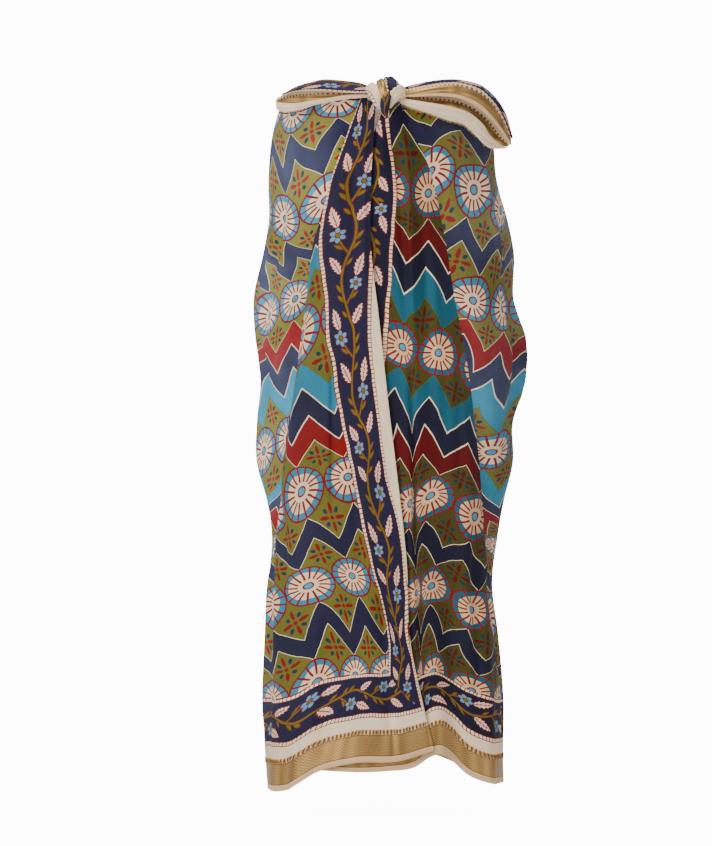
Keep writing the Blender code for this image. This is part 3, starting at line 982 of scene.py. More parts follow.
def wall_height(name, turn, below, radius, x, along):
    """How far the cloth stands off the plain wall. Folds fade out near the edges, so that stretches meet."""
    left_gap = np.radians(turn - line_turn(LEFT_FOLD, below)) * radius
    right_gap = np.radians(turn - line_turn(RIGHT_FOLD, below)) * radius
    fade = ramp(np.minimum(along, 1 - along), 0, EDGE_FADE)
    height = folded(FOLDS[name], turn, below, radius) * FOLD_STRENGTH * fade
    height += folded(CREASES[name], turn, below, radius) * CREASE_STRENGTH * fade
    if name == "back":
        height += waist_gathers(turn, below) * fade
    else:
        height += gathers(x, below) * bump(np.minimum(np.abs(turn), 90), KNOT_GATHERS_WIDTH)
    if name in ("front_over", "left_side"):
        height += crease_beside(LEFT_CREASE, below, left_gap, name == "front_over")
    if name in ("front_under", "right_side"):
        height += crease_beside(RIGHT_CREASE, below, right_gap, name == "front_under")
    if name == "front_over":
        height += OVER_LIFT * ramp(left_gap, 0, LIFT_START)
    if name == "front_under":
        covered = ramp(np.radians(line_turn(OVER_EDGE, below) - turn) * radius, 0, LIFT_START)
        height = height * (1 - covered) - UNDER_DROP * covered
    return height


def stretch_grid(name, columns, rows):
    """Points of a stretch in millimetres, with their turn and drop."""
    down, along = np.meshgrid(np.linspace(0, 1, rows), np.linspace(0, 1, columns), indexing="ij")
    below = TOP_DROP + down * (MEAN_HEM - TOP_DROP)
    for _ in range(3):
        start, end = stretch_edges(name, below)
        turn = signed(start + (end - start) * along)
        on_top = name in ("front_over", "left_side") or (name == "back") * (turn < 0)
        hem = np.where(on_top, hem_below(OVER_HEM, turn), hem_below(UNDER_HEM, turn))
        below = TOP_DROP + down * (hem - TOP_DROP)
    start, end = stretch_edges(name, below)
    turn = start + (end - start) * along
    x, y, out_x, out_y, radius = on_section(turn, below)
    height = wall_height(name, turn, below, radius, x, along)
    print(name, "stands", height.min().round(1), "to", height.max().round(1), "mm off the plain wall")
    grid = {"x": x + out_x * height, "y": y + out_y * height, "below": below, "hem": hem, "turn": turn}
    return grid | {"flat_x": x, "flat_y": y, "out": np.stack([out_x, out_y], axis=-1)}


GRID_SIZES = {
    "front_over": (110, 290),
    "left_side": (60, 240),
    "back": (110, 240),
    "right_side": (60, 240),
    "front_under": (110, 290),
}
grids = {name: stretch_grid(name, *size) for name, size in GRID_SIZES.items()}

# %% [markdown]
# The print has to lie on the form as it does on the real cloth, so every grid point also gets its place on
# the flat rectangle. In front, the border's lines are known in a few places, and the cloth between them is
# spread evenly. Past the folds, the distance round the body is added up. The cloth there hangs from higher
# up, because the corners are drawn to the knot, so its rows of print sit lower than in front. The gain
# grows from nothing at the hem.

# %% The border's lines, as worn
INNER_LINE = (
    (-30, -60), (108, -71.5), (161, -82), (214, -80.6), (253, -75.4), (316, -71.5), (343, -65),
    (394, -58.5), (442, -49.4), (498, -39), (562, -26), (606, -17), (643, -6.5), (706, 5.2), (751, 4),
    (910, 12),
)
OUTER_LINE = (
    (-30, -2), (190, -14), (207, -15.6), (303, -20.8), (337, -18.2), (396, -11.7), (446, -5.2), (498, 2.6),
    (546, 15.6), (584, 22), (641, 26), (706, 28.6), (742, 40), (768, 45.5), (910, 58),
)
# How far from the cloth's edge the last cloth that shows is, where the free edge is turned in.
EDGE_SHOWS = (
    (-30, 24), (190, 24), (207, 20), (240, 12), (290, 3), (316, 0), (590, 0), (625, 13), (706, 14),
    (742, 8), (790, 3), (846, 0),
)
INNER_MIDDLE, OUTER_MIDDLE = 80.75, 18.25
UNDER_LINE = (
    (-30, 2), (11, 3), (108, 12), (161, 10), (214, 6.5), (260, 4), (316, -1), (398, -18), (427, -22),
    (526, -22), (646, -44), (743, -60), (910, -70),
)
# How far round from its own edge the cloth is where each side comes out of the fold.
LEFT_START = (
    (0, 135), (30, 140), (137, 187), (264, 269), (350, 290), (442, 317), (560, 300), (640, 285),
    (910, 300),
)
RIGHT_START = (
    (0, 190), (67, 218), (122, 240), (197, 285), (266, 308), (331, 334), (400, 370), (462, 405),
    (547, 430), (640, 370), (785, 400), (910, 405),
)
# The tuck on the right front: where it runs, and how much cloth it hides.
TUCK_LINE = (
    (-30, 14), (260, 25), (330, 30), (427, 35), (518, 37), (584, 39), (630, 44), (705, 46.5), (910, 51),
)
TUCK_AMOUNT = ((-30, 0), (260, 0), (330, 10), (400, 15), (518, 40), (635, 48), (743, 62), (910, 66))
TUCK_WIDTH = 3.5
# How much higher on the cloth a point lies than it hangs above the hem.
SIDE_GAIN = ((0, 0), (120, 18), (430, 142), (620, 150), (760, 150), (910, 150))
UNDER_GAIN = ((0, 0), (60, 15), (170, 31), (350, 44), (910, 50))
print("the tuck hides", max(hidden for _, hidden in TUCK_AMOUNT), "mm of cloth at the hem")

# %% [markdown]
# Cloth wrapped by hand is never quite even, so some figures of the repeat are given the place where they
# hang. Each mark says where the middle of a rosette or the tip of a zigzag sits on the form, and where that
# same figure lies on the flat cloth, which follows from the repeat alone.

# %% Marks of the print
MARK_COLUMNS = ("across", "below", "from_edge", "above_edge")
MARKS = {
    "front_over": (
        (-111, 310, 122.5, 580), (-104, 512, 155, 385), (-47, 492, 90, 385), (-150, 533, 220, 385),
        (-41, 621, 122.5, 255), (-96, 634, 187.5, 255), (-149, 660, 252.5, 255), (-36, 747, 155, 125),
        (-85, 757, 220, 125), (-144, 783, 285, 125), (-89, 446, 122.5, 455), (-110, 481, 155, 418),
        (-89, 572, 155, 325), (-33, 560, 90, 325), (-45, 681, 155, 185), (-101, 698, 220, 185),
        (-134, 721, 252.5, 195), (-75, 692, 187.5, 195), (-26, 688, 122.5, 195), (-103, 382, 122.5, 516.3),
        (-123, 419, 155, 479.3),
    ),
    "front_under": (
        (20, 22, 100, 856), (26, 48, 105, 838), (33, 127, 102.5, 775), (56, 130, 135, 775),
        (30, 186, 102.5, 705), (57, 191, 135, 711.3), (27, 219, 102.5, 674.3), (85, 229, 167.5, 674.3),
        (25, 254, 102.5, 643.7), (53, 227, 135, 680.7), (82, 268, 167.5, 643.7), (53, 264, 135, 650),
        (75, 301, 167.5, 613), (24, 327, 102.5, 580), (69, 335, 167.5, 580), (34, 389, 135, 510),
        (86, 404, 200, 510), (32, 427, 135, 479.3), (54, 398, 167.5, 516.3), (81, 436, 200, 479.3),
        (113, 416, 232.5, 516.3), (22, 435, 102.5, 485.7), (75, 469, 200, 448.7), (107, 452, 232.5, 485.7),
        (70, 491, 200, 418), (125, 514, 265, 418), (32, 526, 135, 385), (57, 518, 200, 385),
        (115, 545, 265, 385), (77, 583, 232.5, 316), (98, 603, 265, 324), (52, 551, 200, 353.5),
        (107, 575, 265, 353.5), (131, 608, 297.5, 316.5), (122, 641, 297.5, 286.5),
        (67, 608, 232.5, 286.5), (104, 690, 297.5, 223.5), (67, 723, 265, 156.5), (122, 754, 330, 156.5),
        (60, 635, 232.5, 255), (112, 665, 297.5, 255), (157, 680, 362.5, 255), (80, 694, 265, 185),
        (130, 726, 330, 185), (93, 712, 297.5, 195), (147, 737, 362.5, 195), (62, 743, 265, 125),
        (112, 768, 330, 125), (156, 785, 395, 125),
    ),
    "left_side": (
        (-60, 6, 155, 1035), (-119, 23, 220, 1035), (-90, 68, 187.5, 965), (-130, 89, 252.5, 965),
        (-123, 50, 220, 1002), (-80, 104, 187.5, 938), (-120, 87, 220, 975), (-75, 137, 187.5, 905),
        (-133, 159, 252.5, 905), (-128, 190, 252.5, 872), (-133, 219, 285, 835), (-123, 260, 285, 775),
        (-151, 284, 350, 775), (-121, 243, 285, 808), (-126, 323, 285, 711.3), (-142, 359, 317.5, 674.3),
        (-135, 393, 317.5, 643.7), (-130, 442, 317.5, 580), (-157, 461, 382.5, 580),
    ),
    "right_side": (
        (60, 99, 232.5, 905), (112, 122, 297.5, 905), (156, 146, 362.5, 905), (59, 67, 232.5, 938),
        (99, 45, 265, 975), (127, 90, 297.5, 938), (108, 157, 297.5, 872), (125, 197, 330, 835),
        (145, 177, 362.5, 872), (96, 193, 297.5, 845), (124, 234, 330, 808), (113, 266, 330, 775),
        (153, 273, 395, 775), (127, 331, 362.5, 705), (154, 307, 395, 742), (117, 357, 362.5, 674.3),
        (147, 336, 395, 711.3), (163, 367, 427.5, 674.3), (139, 371, 395, 680.7), (158, 402, 427.5, 643.7),
        (124, 402, 395, 650), (138, 462, 427.5, 580), (149, 513, 460, 510), (141, 547, 460, 479.3),
    ),
}
FROM_FAR_EDGE = ("front_under", "right_side")
RUNS_ON_FROM = 500.0
RUNS_ON_REACH = 180.0
MARK_REACH = 66.0
MARK_EASE = 0.05
RUNS_ON_WIDTH = 160.0
ROUND_TURNS = np.linspace(-180, 180, 361)
ROUND_STEP = 10.0
ROUND_DROPS = np.arange(-30, 931, ROUND_STEP)
print("marks", sum(map(len, MARKS.values())))

# %% [markdown]
# The marks are met by a smooth correction: each pulls its own neighbourhood, with a strength found by
# solving one set of equations for all of them. Distances for this are measured round the body, not across
# the picture.

# %% Settling the print on the marks


def round_lengths():
    """For each drop, how far round the plain wall each whole degree lies from the middle of the front."""
    drops, turns = np.meshgrid(ROUND_DROPS, ROUND_TURNS, indexing="ij")
    x, y = on_section(turns, drops)[:2]
    steps = np.hypot(np.diff(x, axis=1), np.diff(y, axis=1))
    lengths = np.concatenate([np.zeros((len(steps), 1)), np.cumsum(steps, axis=1)], axis=1)
    return lengths - lengths[:, 180:181]


LENGTHS = round_lengths()


def round_place(turn, below):
    """The distance round the wall from the middle of the front, read between the table's rows and columns."""
    row = np.clip((below - ROUND_DROPS[0]) / ROUND_STEP, 0, len(ROUND_DROPS) - 1.001)
    column = np.clip(turn + 180, 0, 359.999)
    i, j = row.astype(int), column.astype(int)
    a, b = row - i, column - j
    upper = (1 - b) * LENGTHS[i, j] + b * LENGTHS[i, j + 1]
    lower = (1 - b) * LENGTHS[i + 1, j] + b * LENGTHS[i + 1, j + 1]
    return (1 - a) * upper + a * lower


def seen_spots(across, below):
    """Points seen from the front, as their distance round the wall and their drop."""
    return np.stack([round_place(turn_at(across, below), below), below], axis=-1)


def settle(name, grid, place, still=()):
    """Draws the print smoothly to where its figures are seen. still are points that keep their from_edge."""
    marks = table(MARKS[name], MARK_COLUMNS)
    from_edge = CLOTH_ALONG - marks["from_edge"] if name in FROM_FAR_EDGE else marks["from_edge"]
    spots = seen_spots(marks["across"], marks["below"])
    points = np.stack([round_place(grid["turn"], grid["below"]).ravel(), grid["below"].ravel()], axis=-1)
    held = np.array(still, dtype=float).reshape(-1, 2)
    if len(held):
        held = seen_spots(held[:, 1], held[:, 0])
    settled = []
    for layer, known, extra in ((place[0], from_edge, held), (place[1], marks["above_edge"], held[:0])):
        centres = np.concatenate([spots, extra])
        nearest = ((points[None] - spots[:, None]) ** 2).sum(-1).argmin(1)
        gaps = np.concatenate([known - layer.ravel()[nearest], np.zeros(len(extra))])
        apart = ((centres[None] - centres[:, None]) ** 2).sum(-1)
        pull = np.linalg.solve(np.exp(-apart / MARK_REACH**2) + MARK_EASE * np.eye(len(centres)), gaps)
        reach = ((points[:, None] - centres[None]) ** 2).sum(-1)
        shift = np.exp(-reach / MARK_REACH**2) @ pull
        settled.append(layer + shift.reshape(layer.shape))
        print(name, "marks", len(spots), "furthest moved", round(float(np.abs(shift).max()), 1), "mm")
    return tuple(settled)


# %% [markdown]
# Now each stretch can be laid out flat. The two fronts start from the border's lines, the sides carry on
# from the folds, and the back spreads what is left between the sides.

# %% Laying out each stretch


def round_length(grid):
    """Distance along each row, from its first point, on the plain section."""
    steps = np.hypot(np.diff(grid["flat_x"], axis=1), np.diff(grid["flat_y"], axis=1))
    return np.concatenate([np.zeros((len(steps), 1)), np.cumsum(steps, axis=1)], axis=1)


def length_at(grid, lengths, x_line):
    """The distance at which each row crosses a line seen from the front."""
    found = [np.interp(line, row_x, row) for line, row_x, row in zip(x_line, grid["flat_x"], lengths)]
    return np.array(found)[:, None]


def over_place(grid):
    """The left front: the border's band between its two lines, and the field past the inner one."""
    lengths = round_length(grid)
    below = grid["below"][:, -1]
    inner = length_at(grid, lengths, read_line(INNER_LINE, below))
    outer = length_at(grid, lengths, read_line(OUTER_LINE, below))
    last = lengths[:, -1:]
    shows = read_line(EDGE_SHOWS, below)[:, None]
    outer = np.minimum(outer, last - 0.5)
    outer_value = np.maximum(OUTER_MIDDLE, shows)
    field = INNER_MIDDLE + (inner - lengths)
    band = INNER_MIDDLE + (outer_value - INNER_MIDDLE) * (lengths - inner) / (outer - inner)
    margin = outer_value + (shows - outer_value) * (lengths - outer) / np.maximum(last - outer, 0.5)
    across = np.where(lengths < inner, field, np.where(lengths < outer, band, margin))
    still = [(drop, x) for drop, x in INNER_LINE + OUTER_LINE + OVER_EDGE if drop > 150]
    return settle("front_over", grid, (across, grid["hem"] - grid["below"]), still)


def under_place(grid):
    """The right front, which runs under the other. A tuck takes a strip of the cloth out of sight."""
    lengths = round_length(grid)
    below = grid["below"]
    inner = length_at(grid, lengths, read_line(UNDER_LINE, below[:, -1]))
    tuck_x = read_line(TUCK_LINE, below)
    amount = read_line(TUCK_AMOUNT, below)
    step = 0.5 + 0.5 * np.tanh((grid["flat_x"] - tuck_x) / TUCK_WIDTH)
    above = grid["hem"] - below
    gain = read_line(UNDER_GAIN, above)
    across = CLOTH_ALONG - (INNER_MIDDLE + lengths - inner + amount * step)
    still = [(drop, x) for drop, x in UNDER_LINE if drop < 320]
    return settle("front_under", grid, (across, above + gain), still)


def side_place(grid, left, front, front_place):
    """A side's place on the cloth. Low down its fold dies out, and the print runs on from the front."""
    lengths = round_length(grid)
    above = grid["hem"] - grid["below"]
    gain = read_line(SIDE_GAIN, above)
    column, name, table_rows = (-1, "left_side", LEFT_START) if left else (0, "right_side", RIGHT_START)
    start = read_line(table_rows, grid["below"][:, column])[:, None]
    way = lengths[:, column][:, None] - lengths
    across = start + way if left else CLOTH_ALONG - start + way
    across, up = settle(name, grid, (across, above + gain))
    drop = grid["below"][:, column]
    share = ease(ramp(drop, RUNS_ON_FROM, RUNS_ON_REACH))[:, None]
    other = -1 - column
    edge = [np.interp(drop, front["below"][:, other], values[:, other])[:, None] for values in front_place]
    far = ramp(np.abs(way), 0, RUNS_ON_WIDTH)
    across = across + share * (edge[0] - across[:, column][:, None])
    up = up + share * (1 - far * 0.5) * (edge[1] - up[:, column][:, None])
    return across, up


def back_place(grid, left_place, right_place):
    """Spreads the cloth evenly between the sides, and runs its rows of print into theirs at both seams."""
    lengths = round_length(grid)
    share = lengths / lengths[:, -1:]
    rows = np.linspace(0, 1, len(lengths))
    side_rows = np.linspace(0, 1, len(right_place[0]))
    right_end = [np.interp(rows, side_rows, values[:, -1])[:, None] for values in right_place]
    left_end = [np.interp(rows, side_rows, values[:, 0])[:, None] for values in left_place]
    spread = (right_end[0] - left_end[0]) / lengths[:, -1:]
    print("back spread", spread.min().round(3), spread.max().round(3))
    above = grid["hem"] - grid["below"]
    up = above + read_line(SIDE_GAIN, above)
    up += (right_end[1] - up[:, :1]) * ease(ramp(1 - 2 * share, 0, 1))
    up += (left_end[1] - up[:, -1:]) * ease(ramp(2 * share - 1, 0, 1))
    return right_end[0] + (left_end[0] - right_end[0]) * share, up


places = {
    "front_over": over_place(grids["front_over"]),
    "front_under": under_place(grids["front_under"]),
}
places["left_side"] = side_place(grids["left_side"], True, grids["front_over"], places["front_over"])
places["right_side"] = side_place(grids["right_side"], False, grids["front_under"], places["front_under"])
places["back"] = back_place(grids["back"], places["left_side"], places["right_side"])

# %% [markdown]
# A shell is the grid with a wall of a little over half a millimetre, thin as crepe looks. Solidify gives
# the wall, and its second material slot makes the inner face the paler one. The place of each point on the
# flat cloth goes into a UV layer, which the material reads.

# %% Building a shell


SHELL = 0.6


def grid_faces(rows, columns, closed=False):
    """Four-sided faces between the points of a grid. A closed one joins its last column to its first."""
    index = np.arange(rows * columns).reshape(rows, columns)
    if closed:
        index = np.concatenate([index, index[:, :1]], axis=1)
    return np.stack([index[:-1, :-1], index[:-1, 1:], index[1:, 1:], index[1:, :-1]], axis=-1).reshape(-1, 4)


def cloth_mesh(name, points, faces, flat, materials):
    """A mesh from points, faces and places on the flat cloth, all in millimetres."""
    mesh = bpy.data.meshes.new(name)
    mesh.from_pydata((points * MM).tolist(), [], faces)
    corners = [corner for face in faces for corner in face]
    layer = mesh.uv_layers.new(name="cloth")
    layer.uv.foreach_set("vector", (flat * MM)[corners].astype(np.float32).reshape(-1))
    for material in materials:
        mesh.materials.append(material)
    mesh.shade_smooth()
    return mesh


def give_wall(obj, offset=-1.0):
    wall = obj.modifiers.new("wall", "SOLIDIFY")
    wall.thickness = SHELL * MM
    wall.offset = offset
    wall.use_rim = True
    wall.material_offset = 1


# %% [markdown]
# Each point of the cloth carries two more numbers for the material: how much light comes through, and how
# much painted shade darkens its dyes, which is most where much cloth lies behind and little light falls. Both
# change slowly with the turn round the body and the drop below the waist.

# %% Light through the cloth, and painted shade
THROUGH = {"front_over": 0.16, "front_under": 0.06, "left_side": 0.4, "right_side": 0.3, "back": 0.3}
THROUGH_TURN, THROUGH_TURN_LENGTH = 28, 45
THROUGH_DROP, THROUGH_DROP_LENGTH = 360, 260
THROUGH_AT_HEM = 0.3
# How much painted shade each stretch gets, from 0 to 1.
PAINTED_SHADE = {"front_over": 0.52, "front_under": 1.0, "left_side": 0.0, "right_side": 0.45, "back": 0.3}
PAINTED_SHADE_LOW = 0.7
PAINTED_SHADE_TURN, PAINTED_SHADE_TURN_LENGTH = 65, 30
PAINTED_SHADE_DROP, PAINTED_SHADE_DROP_LENGTH = 420, 300


def light_through(name, grid):
    """Strong where one layer is stretched over the hip, none where layers lie over each other."""
    side = ramp(np.abs(signed(grid["turn"])), THROUGH_TURN, THROUGH_TURN_LENGTH)
    high = 1 - ramp(grid["below"], THROUGH_DROP, THROUGH_DROP_LENGTH)
    return THROUGH[name] * side * (THROUGH_AT_HEM + (1 - THROUGH_AT_HEM) * high)


def painted_shade_share(name, grid):
    """Painted shade: strong in front, where several layers lie over each other and the right front gets
    little light, and low on the sides near the front, where some layers do as well.
    """
    share = np.full_like(grid["below"], PAINTED_SHADE[name])
    if name in ("left_side", "right_side"):
        near = 1 - ramp(np.abs(signed(grid["turn"])), PAINTED_SHADE_TURN, PAINTED_SHADE_TURN_LENGTH)
        share += (PAINTED_SHADE_LOW - share) * ramp(grid["below"], PAINTED_SHADE_DROP, PAINTED_SHADE_DROP_LENGTH) * near
    return share


print("shells are", SHELL, "mm thick")

# %% [markdown]
# The edges beside a large fold get extra columns of points. The stretch on top rolls under in a narrow lip,
# and the one beneath runs on a little way below it, so that no light shows between them.

# %% Lips, underlaps and the five shells
LIPS = ("front_over", "right_side")
LIP_RADIUS = 1.8
LIP_TURN = 165
LIP_STEPS = 6
LIP_PRINT = 0.3
UNDERLAPS = ("left_side", "front_under")
TUCK_UNDER = 7.0
TUCK_DEPTH = 3.2
TUCK_SHARES = np.array([0.35, 0.7, 1.0])


def edge_and_away(layers, first, inner):
    """The points of an edge column, and the direction from a column further in to it."""
    edge, inside = (np.stack([layers["x"][:, i], layers["y"][:, i]], axis=-1) for i in (first, inner))
    return edge, (edge - inside) / np.linalg.norm(edge - inside, axis=1)[:, None]


def add_columns(layers, before, new):
    """Adds columns before the first or after the last. What new leaves out keeps the value at the edge."""
    for key, values in layers.items():
        edge = values[:, :1] if before else values[:, -1:]
        extra = new.get(key, np.repeat(edge, new["x"].shape[1], axis=1))
        layers[key] = np.concatenate([extra, values] if before else [values, extra], axis=1)


def roll_lip(grid, layers):
    """Rolls the first edge inward, away from the viewer."""
    edge, away = edge_and_away(layers, 0, 1)
    outward = grid["out"][:, 0]
    steps = np.arange(LIP_STEPS, 0, -1)
    turns = math.radians(LIP_TURN) * steps[:, None] / LIP_STEPS
    aside = away[:, None] * LIP_RADIUS * np.sin(turns)
    rolled = edge[:, None] + aside - outward[:, None] * LIP_RADIUS * (1 - np.cos(turns))
    across = layers["across"]
    across = across[:, :1] + (across[:, :1] - across[:, 1:2]) * steps * LIP_PRINT
    add_columns(layers, True, {"x": rolled[..., 0], "y": rolled[..., 1], "across": across})


def run_under(grid, layers):
    """Runs the last edge on beneath the fold beside it."""
    edge, away = edge_and_away(layers, -1, -3)
    step = away * TUCK_UNDER - grid["out"][:, -1] * TUCK_DEPTH
    under = edge[:, None] + step[:, None] * TUCK_SHARES[:, None]
    across = layers["across"]
    across = across[:, -1:] + (across[:, -1:] - across[:, -2:-1]) * np.arange(1, len(TUCK_SHARES) + 1)
    add_columns(layers, False, {"x": under[..., 0], "y": under[..., 1], "across": across})


def cloth_shell(name, grid, place):
    layers = {"x": grid["x"], "y": grid["y"], "below": grid["below"], "across": place[0], "up": place[1]}
    # through is the light that comes through the cloth, and behind is its painted shade.
    layers |= {"through": light_through(name, grid), "behind": painted_shade_share(name, grid)}
    if name in LIPS:
        roll_lip(grid, layers)
    if name in UNDERLAPS:
        run_under(grid, layers)
    points = np.stack([layers["x"], layers["y"], -layers["below"]], axis=-1).reshape(-1, 3)
    flat = np.stack([layers["across"], layers["up"]], axis=-1).reshape(-1, 2)
    faces = grid_faces(*layers["x"].shape)[:, [0, 3, 2, 1]].tolist()
    mesh = cloth_mesh(name + "_cloth", points, faces, flat, (OUTSIDE, INSIDE))
    for attribute, key in (("light_through", "through"), ("painted_shade_share", "behind")):
        carried = mesh.attributes.new(attribute, "FLOAT", "POINT")
        carried.data.foreach_set("value", layers[key].astype(np.float32).reshape(-1))
    obj = place_object(name + "_cloth", mesh)
    give_wall(obj)
    print(obj.name, len(mesh.polygons), "faces")
    return obj


shells = {name: cloth_shell(name, grids[name], places[name]) for name in GRID_SIZES}

# %% [markdown]
# The tie ends are the two top corners of the cloth, folded lengthwise, so the stripes of the top border run
# along them. Each is made of ribbons. A ribbon is stretched between two guide lines and bowed outward a
# little, and its place on the flat cloth says which stripes show. Together they make the open mouth at the
# end of each tie.

# %% Ribbons
RIBBON_COLUMNS = ("x_high", "y_high", "z_high", "x_low", "y_low", "z_low", "bow")


def along_guide(rows, columns, stations):
    """Each column of a table of stations, read smoothly between its rows."""
    order = np.arange(len(rows), dtype=float)
    return {key: smooth(stations, order, values) for key, values in table(rows, columns).items()}


def ribbon(rows, along_range, up_range, ripple=0.5, steps=60, across_steps=18):
    """A strip between two guide lines, the first its upper edge. Returns its points and flat places."""
    stations = np.linspace(0, len(rows) - 1, steps)
    at = {key: values[:, None] for key, values in along_guide(rows, RIBBON_COLUMNS, stations).items()}
    share = np.linspace(0, 1, across_steps)[None, :]
    high = np.stack([at["x_high"], at["y_high"], at["z_high"]], axis=-1)
    low = np.stack([at["x_low"], at["y_low"], at["z_low"]], axis=-1)
    points = high + (low - high) * share[..., None]
    waves = ripple * np.sin(share * 15 + stations[:, None] * 1.3) * np.sin(math.pi * share)
    points[..., 1] -= 4 * share * (1 - share) * at["bow"] + waves
    along = np.broadcast_to(np.linspace(*along_range, steps)[:, None], points.shape[:2])
    up = np.broadcast_to(np.linspace(*up_range, across_steps)[None, :], points.shape[:2])
    return points, along, up


def joined(parts):
    """Several parts as one: points, faces counted on from part to part, and flat places."""
    points, faces, flat = [], [], []
    for part_points, part_faces, along, up in parts:
        count = sum(len(done) for done in points)
        points.append(part_points.reshape(-1, 3))
        faces += [[count + corner for corner in face] for face in part_faces]
        flat.append(np.stack([along, up], axis=-1).reshape(-1, 2))
    return np.concatenate(points), faces, np.concatenate(flat)


def ribbons_object(name, ribbons):
    """Several ribbons as one piece of cloth, all with the printed face out."""
    parts = []
    for points, along, up in ribbons:
        faces = grid_faces(*points.shape[:2])
        to_left = points[-1, 0, 0] < points[0, 0, 0]
        parts.append((points, (faces[:, ::-1] if to_left else faces).tolist(), along, up))
    obj = place_object(name, cloth_mesh(name, *joined(parts), (OUTSIDE, INSIDE)))
    give_wall(obj, 0.0)
    print(name, len(obj.data.polygons), "faces")
    return obj


# %% [markdown]
# The right tie end is the longer one, and droops at its tip. Its mouth opens towards the front, and shows a
# stripe of the border on top, the gold band below it, a plain cream flap in front, and the back of the fold
# behind them.

# %% The right tie end
RIGHT_STRIPE = (
    (18, -112, 5, 18, -116, 1, 0.5),
    (36, -112, 11, 36, -118, 5, 1),
    (56, -110, 15, 56, -117, 9, 1),
    (76, -105, 18, 76, -113, 12, 1),
    (98, -98, 18, 97, -107, 12, 1),
    (124, -88, 12, 121, -98, 5, 1),
    (143, -77, -3, 139, -87, -10, 1),
    (157, -67, -24, 152, -76, -30, 1),
    (166, -60, -54, 163, -67, -56, 0.5),
)
RIGHT_GOLD = (
    (18, -116, 1, 18, -118, -5, 1),
    (36, -118, 5, 36, -122, -6, 2),
    (56, -117, 9, 54, -122, -5, 2),
    (76, -113, 12, 75, -119, -5, 3),
    (97, -107, 12, 97, -113, -8, 3),
    (121, -98, 5, 119, -104, -18, 3),
    (139, -87, -10, 137, -92, -33, 3),
    (152, -76, -30, 151, -80, -49, 2),
    (163, -67, -56, 164, -68, -65, 1),
)
RIGHT_FLAP = (
    (18, -118, -7, 18, -116, -13, 1),
    (35, -122, -10, 35, -118, -20, 2),
    (54, -123, -13, 57, -118, -27, 2),
    (74, -119, -16, 80, -113, -35, 3),
    (93, -112, -20, 100, -105, -40, 3),
    (110, -104, -26, 115, -97, -52, 3),
    (126, -96, -39, 125, -90, -62, 2),
    (135, -86, -52, 137, -79, -69, 2),
    (150, -70, -64, 160, -64, -68, 1),
)
RIGHT_BACK = (
    (18, -112, -1, 18, -112, -10, 0),
    (36, -110, 0, 36, -112, -13, -1),
    (55, -108, 0, 55, -110, -17, -2),
    (76, -103, 0, 76, -106, -20, -2),
    (97, -95, -3, 97, -98, -25, -2),
    (119, -86, -13, 115, -89, -33, -2),
    (137, -75, -28, 130, -80, -46, -2),
    (151, -66, -44, 140, -72, -60, -1),
    (163, -60, -62, 158, -61, -66, 0),
)
tie_right = ribbons_object(
    "tie_end_right_cloth",
    [
        ribbon(RIGHT_STRIPE, (300, 470), (1076, 1104)),
        ribbon(RIGHT_GOLD, (300, 470), (1117, 1164)),
        ribbon(RIGHT_FLAP, (7, 9), (600, 640), ripple=0.9),
        ribbon(RIGHT_BACK, (300, 470), (1104, 1150)),
    ],
)

# %% [markdown]
# The left tie end is shorter and lies flatter: the border with the gold band above, a thin cream lip below,
# and the back of the fold.

# %% The left tie end
LEFT_UPPER = (
    (-18, -112, 8, -18, -121, 0, 1),
    (-34, -113, 13, -34, -122, -1, 2),
    (-54, -111, 16, -54, -120, 0, 2),
    (-79, -105, 18, -79, -116, 2, 3),
    (-98, -96, 15, -98, -108, 3, 3),
    (-116, -86, 10, -114, -98, 3, 3),
    (-130, -76, 3, -127, -88, 1, 2),
    (-142, -66, -6, -139, -74, -3, 1),
)
LEFT_LIP = (
    (-18, -120, -3, -18, -118, -6, 1),
    (-34, -120, -3, -34, -118, -7, 1),
    (-54, -118, -4, -54, -117, -9, 1),
    (-79, -114, -8, -79, -113, -13, 1),
    (-98, -106, -10, -98, -105, -17, 2),
    (-114, -96, -12, -114, -95, -21, 2),
    (-128, -86, -11, -129, -84, -22, 2),
    (-141, -69, -8, -141, -67, -18, 1),
)
LEFT_BACK = (
    (-18, -112, 1, -18, -113, -5, 0),
    (-34, -111, 1, -34, -112, -5, -1),
    (-54, -108, 2, -54, -110, -6, -1),
    (-79, -101, 4, -79, -104, -10, -2),
    (-98, -92, 5, -98, -95, -13, -2),
    (-114, -82, 5, -114, -85, -15, -2),
    (-128, -73, 2, -129, -76, -14, -1),
    (-141, -63, -4, -142, -64, -12, 0),
)
tie_left = ribbons_object(
    "tie_end_left_cloth",
    [
        ribbon(LEFT_UPPER, (470, 330), (1056, 1106)),
        ribbon(LEFT_LIP, (7, 9), (600, 640), ripple=0.9),
        ribbon(LEFT_BACK, (470, 330), (1110, 1154)),
    ],
)

# %% [markdown]
# The knot is two corners wrapped over each other. Each visible turn of cloth is a flat tube swept along a
# short path, pleated lengthwise, because cloth that is pulled tight gathers into pleats. They are wound so
# that each passes over the last, with a plain core inside that closes what lies between them.

# %% The knot
KNOT_MIDDLE_BELOW = 7.0
WRAP_COLUMNS = ("x", "y", "z", "half_width", "half_depth")
KNOT_AXIS = np.array([0.0, -108.0, 0.0])
PLEATS, PLEAT_DEPTH, PLEAT_DRIFTS = 6, 0.10, 0.8
WRAP_BLUNT, WRAP_END = 0.25, 0.04
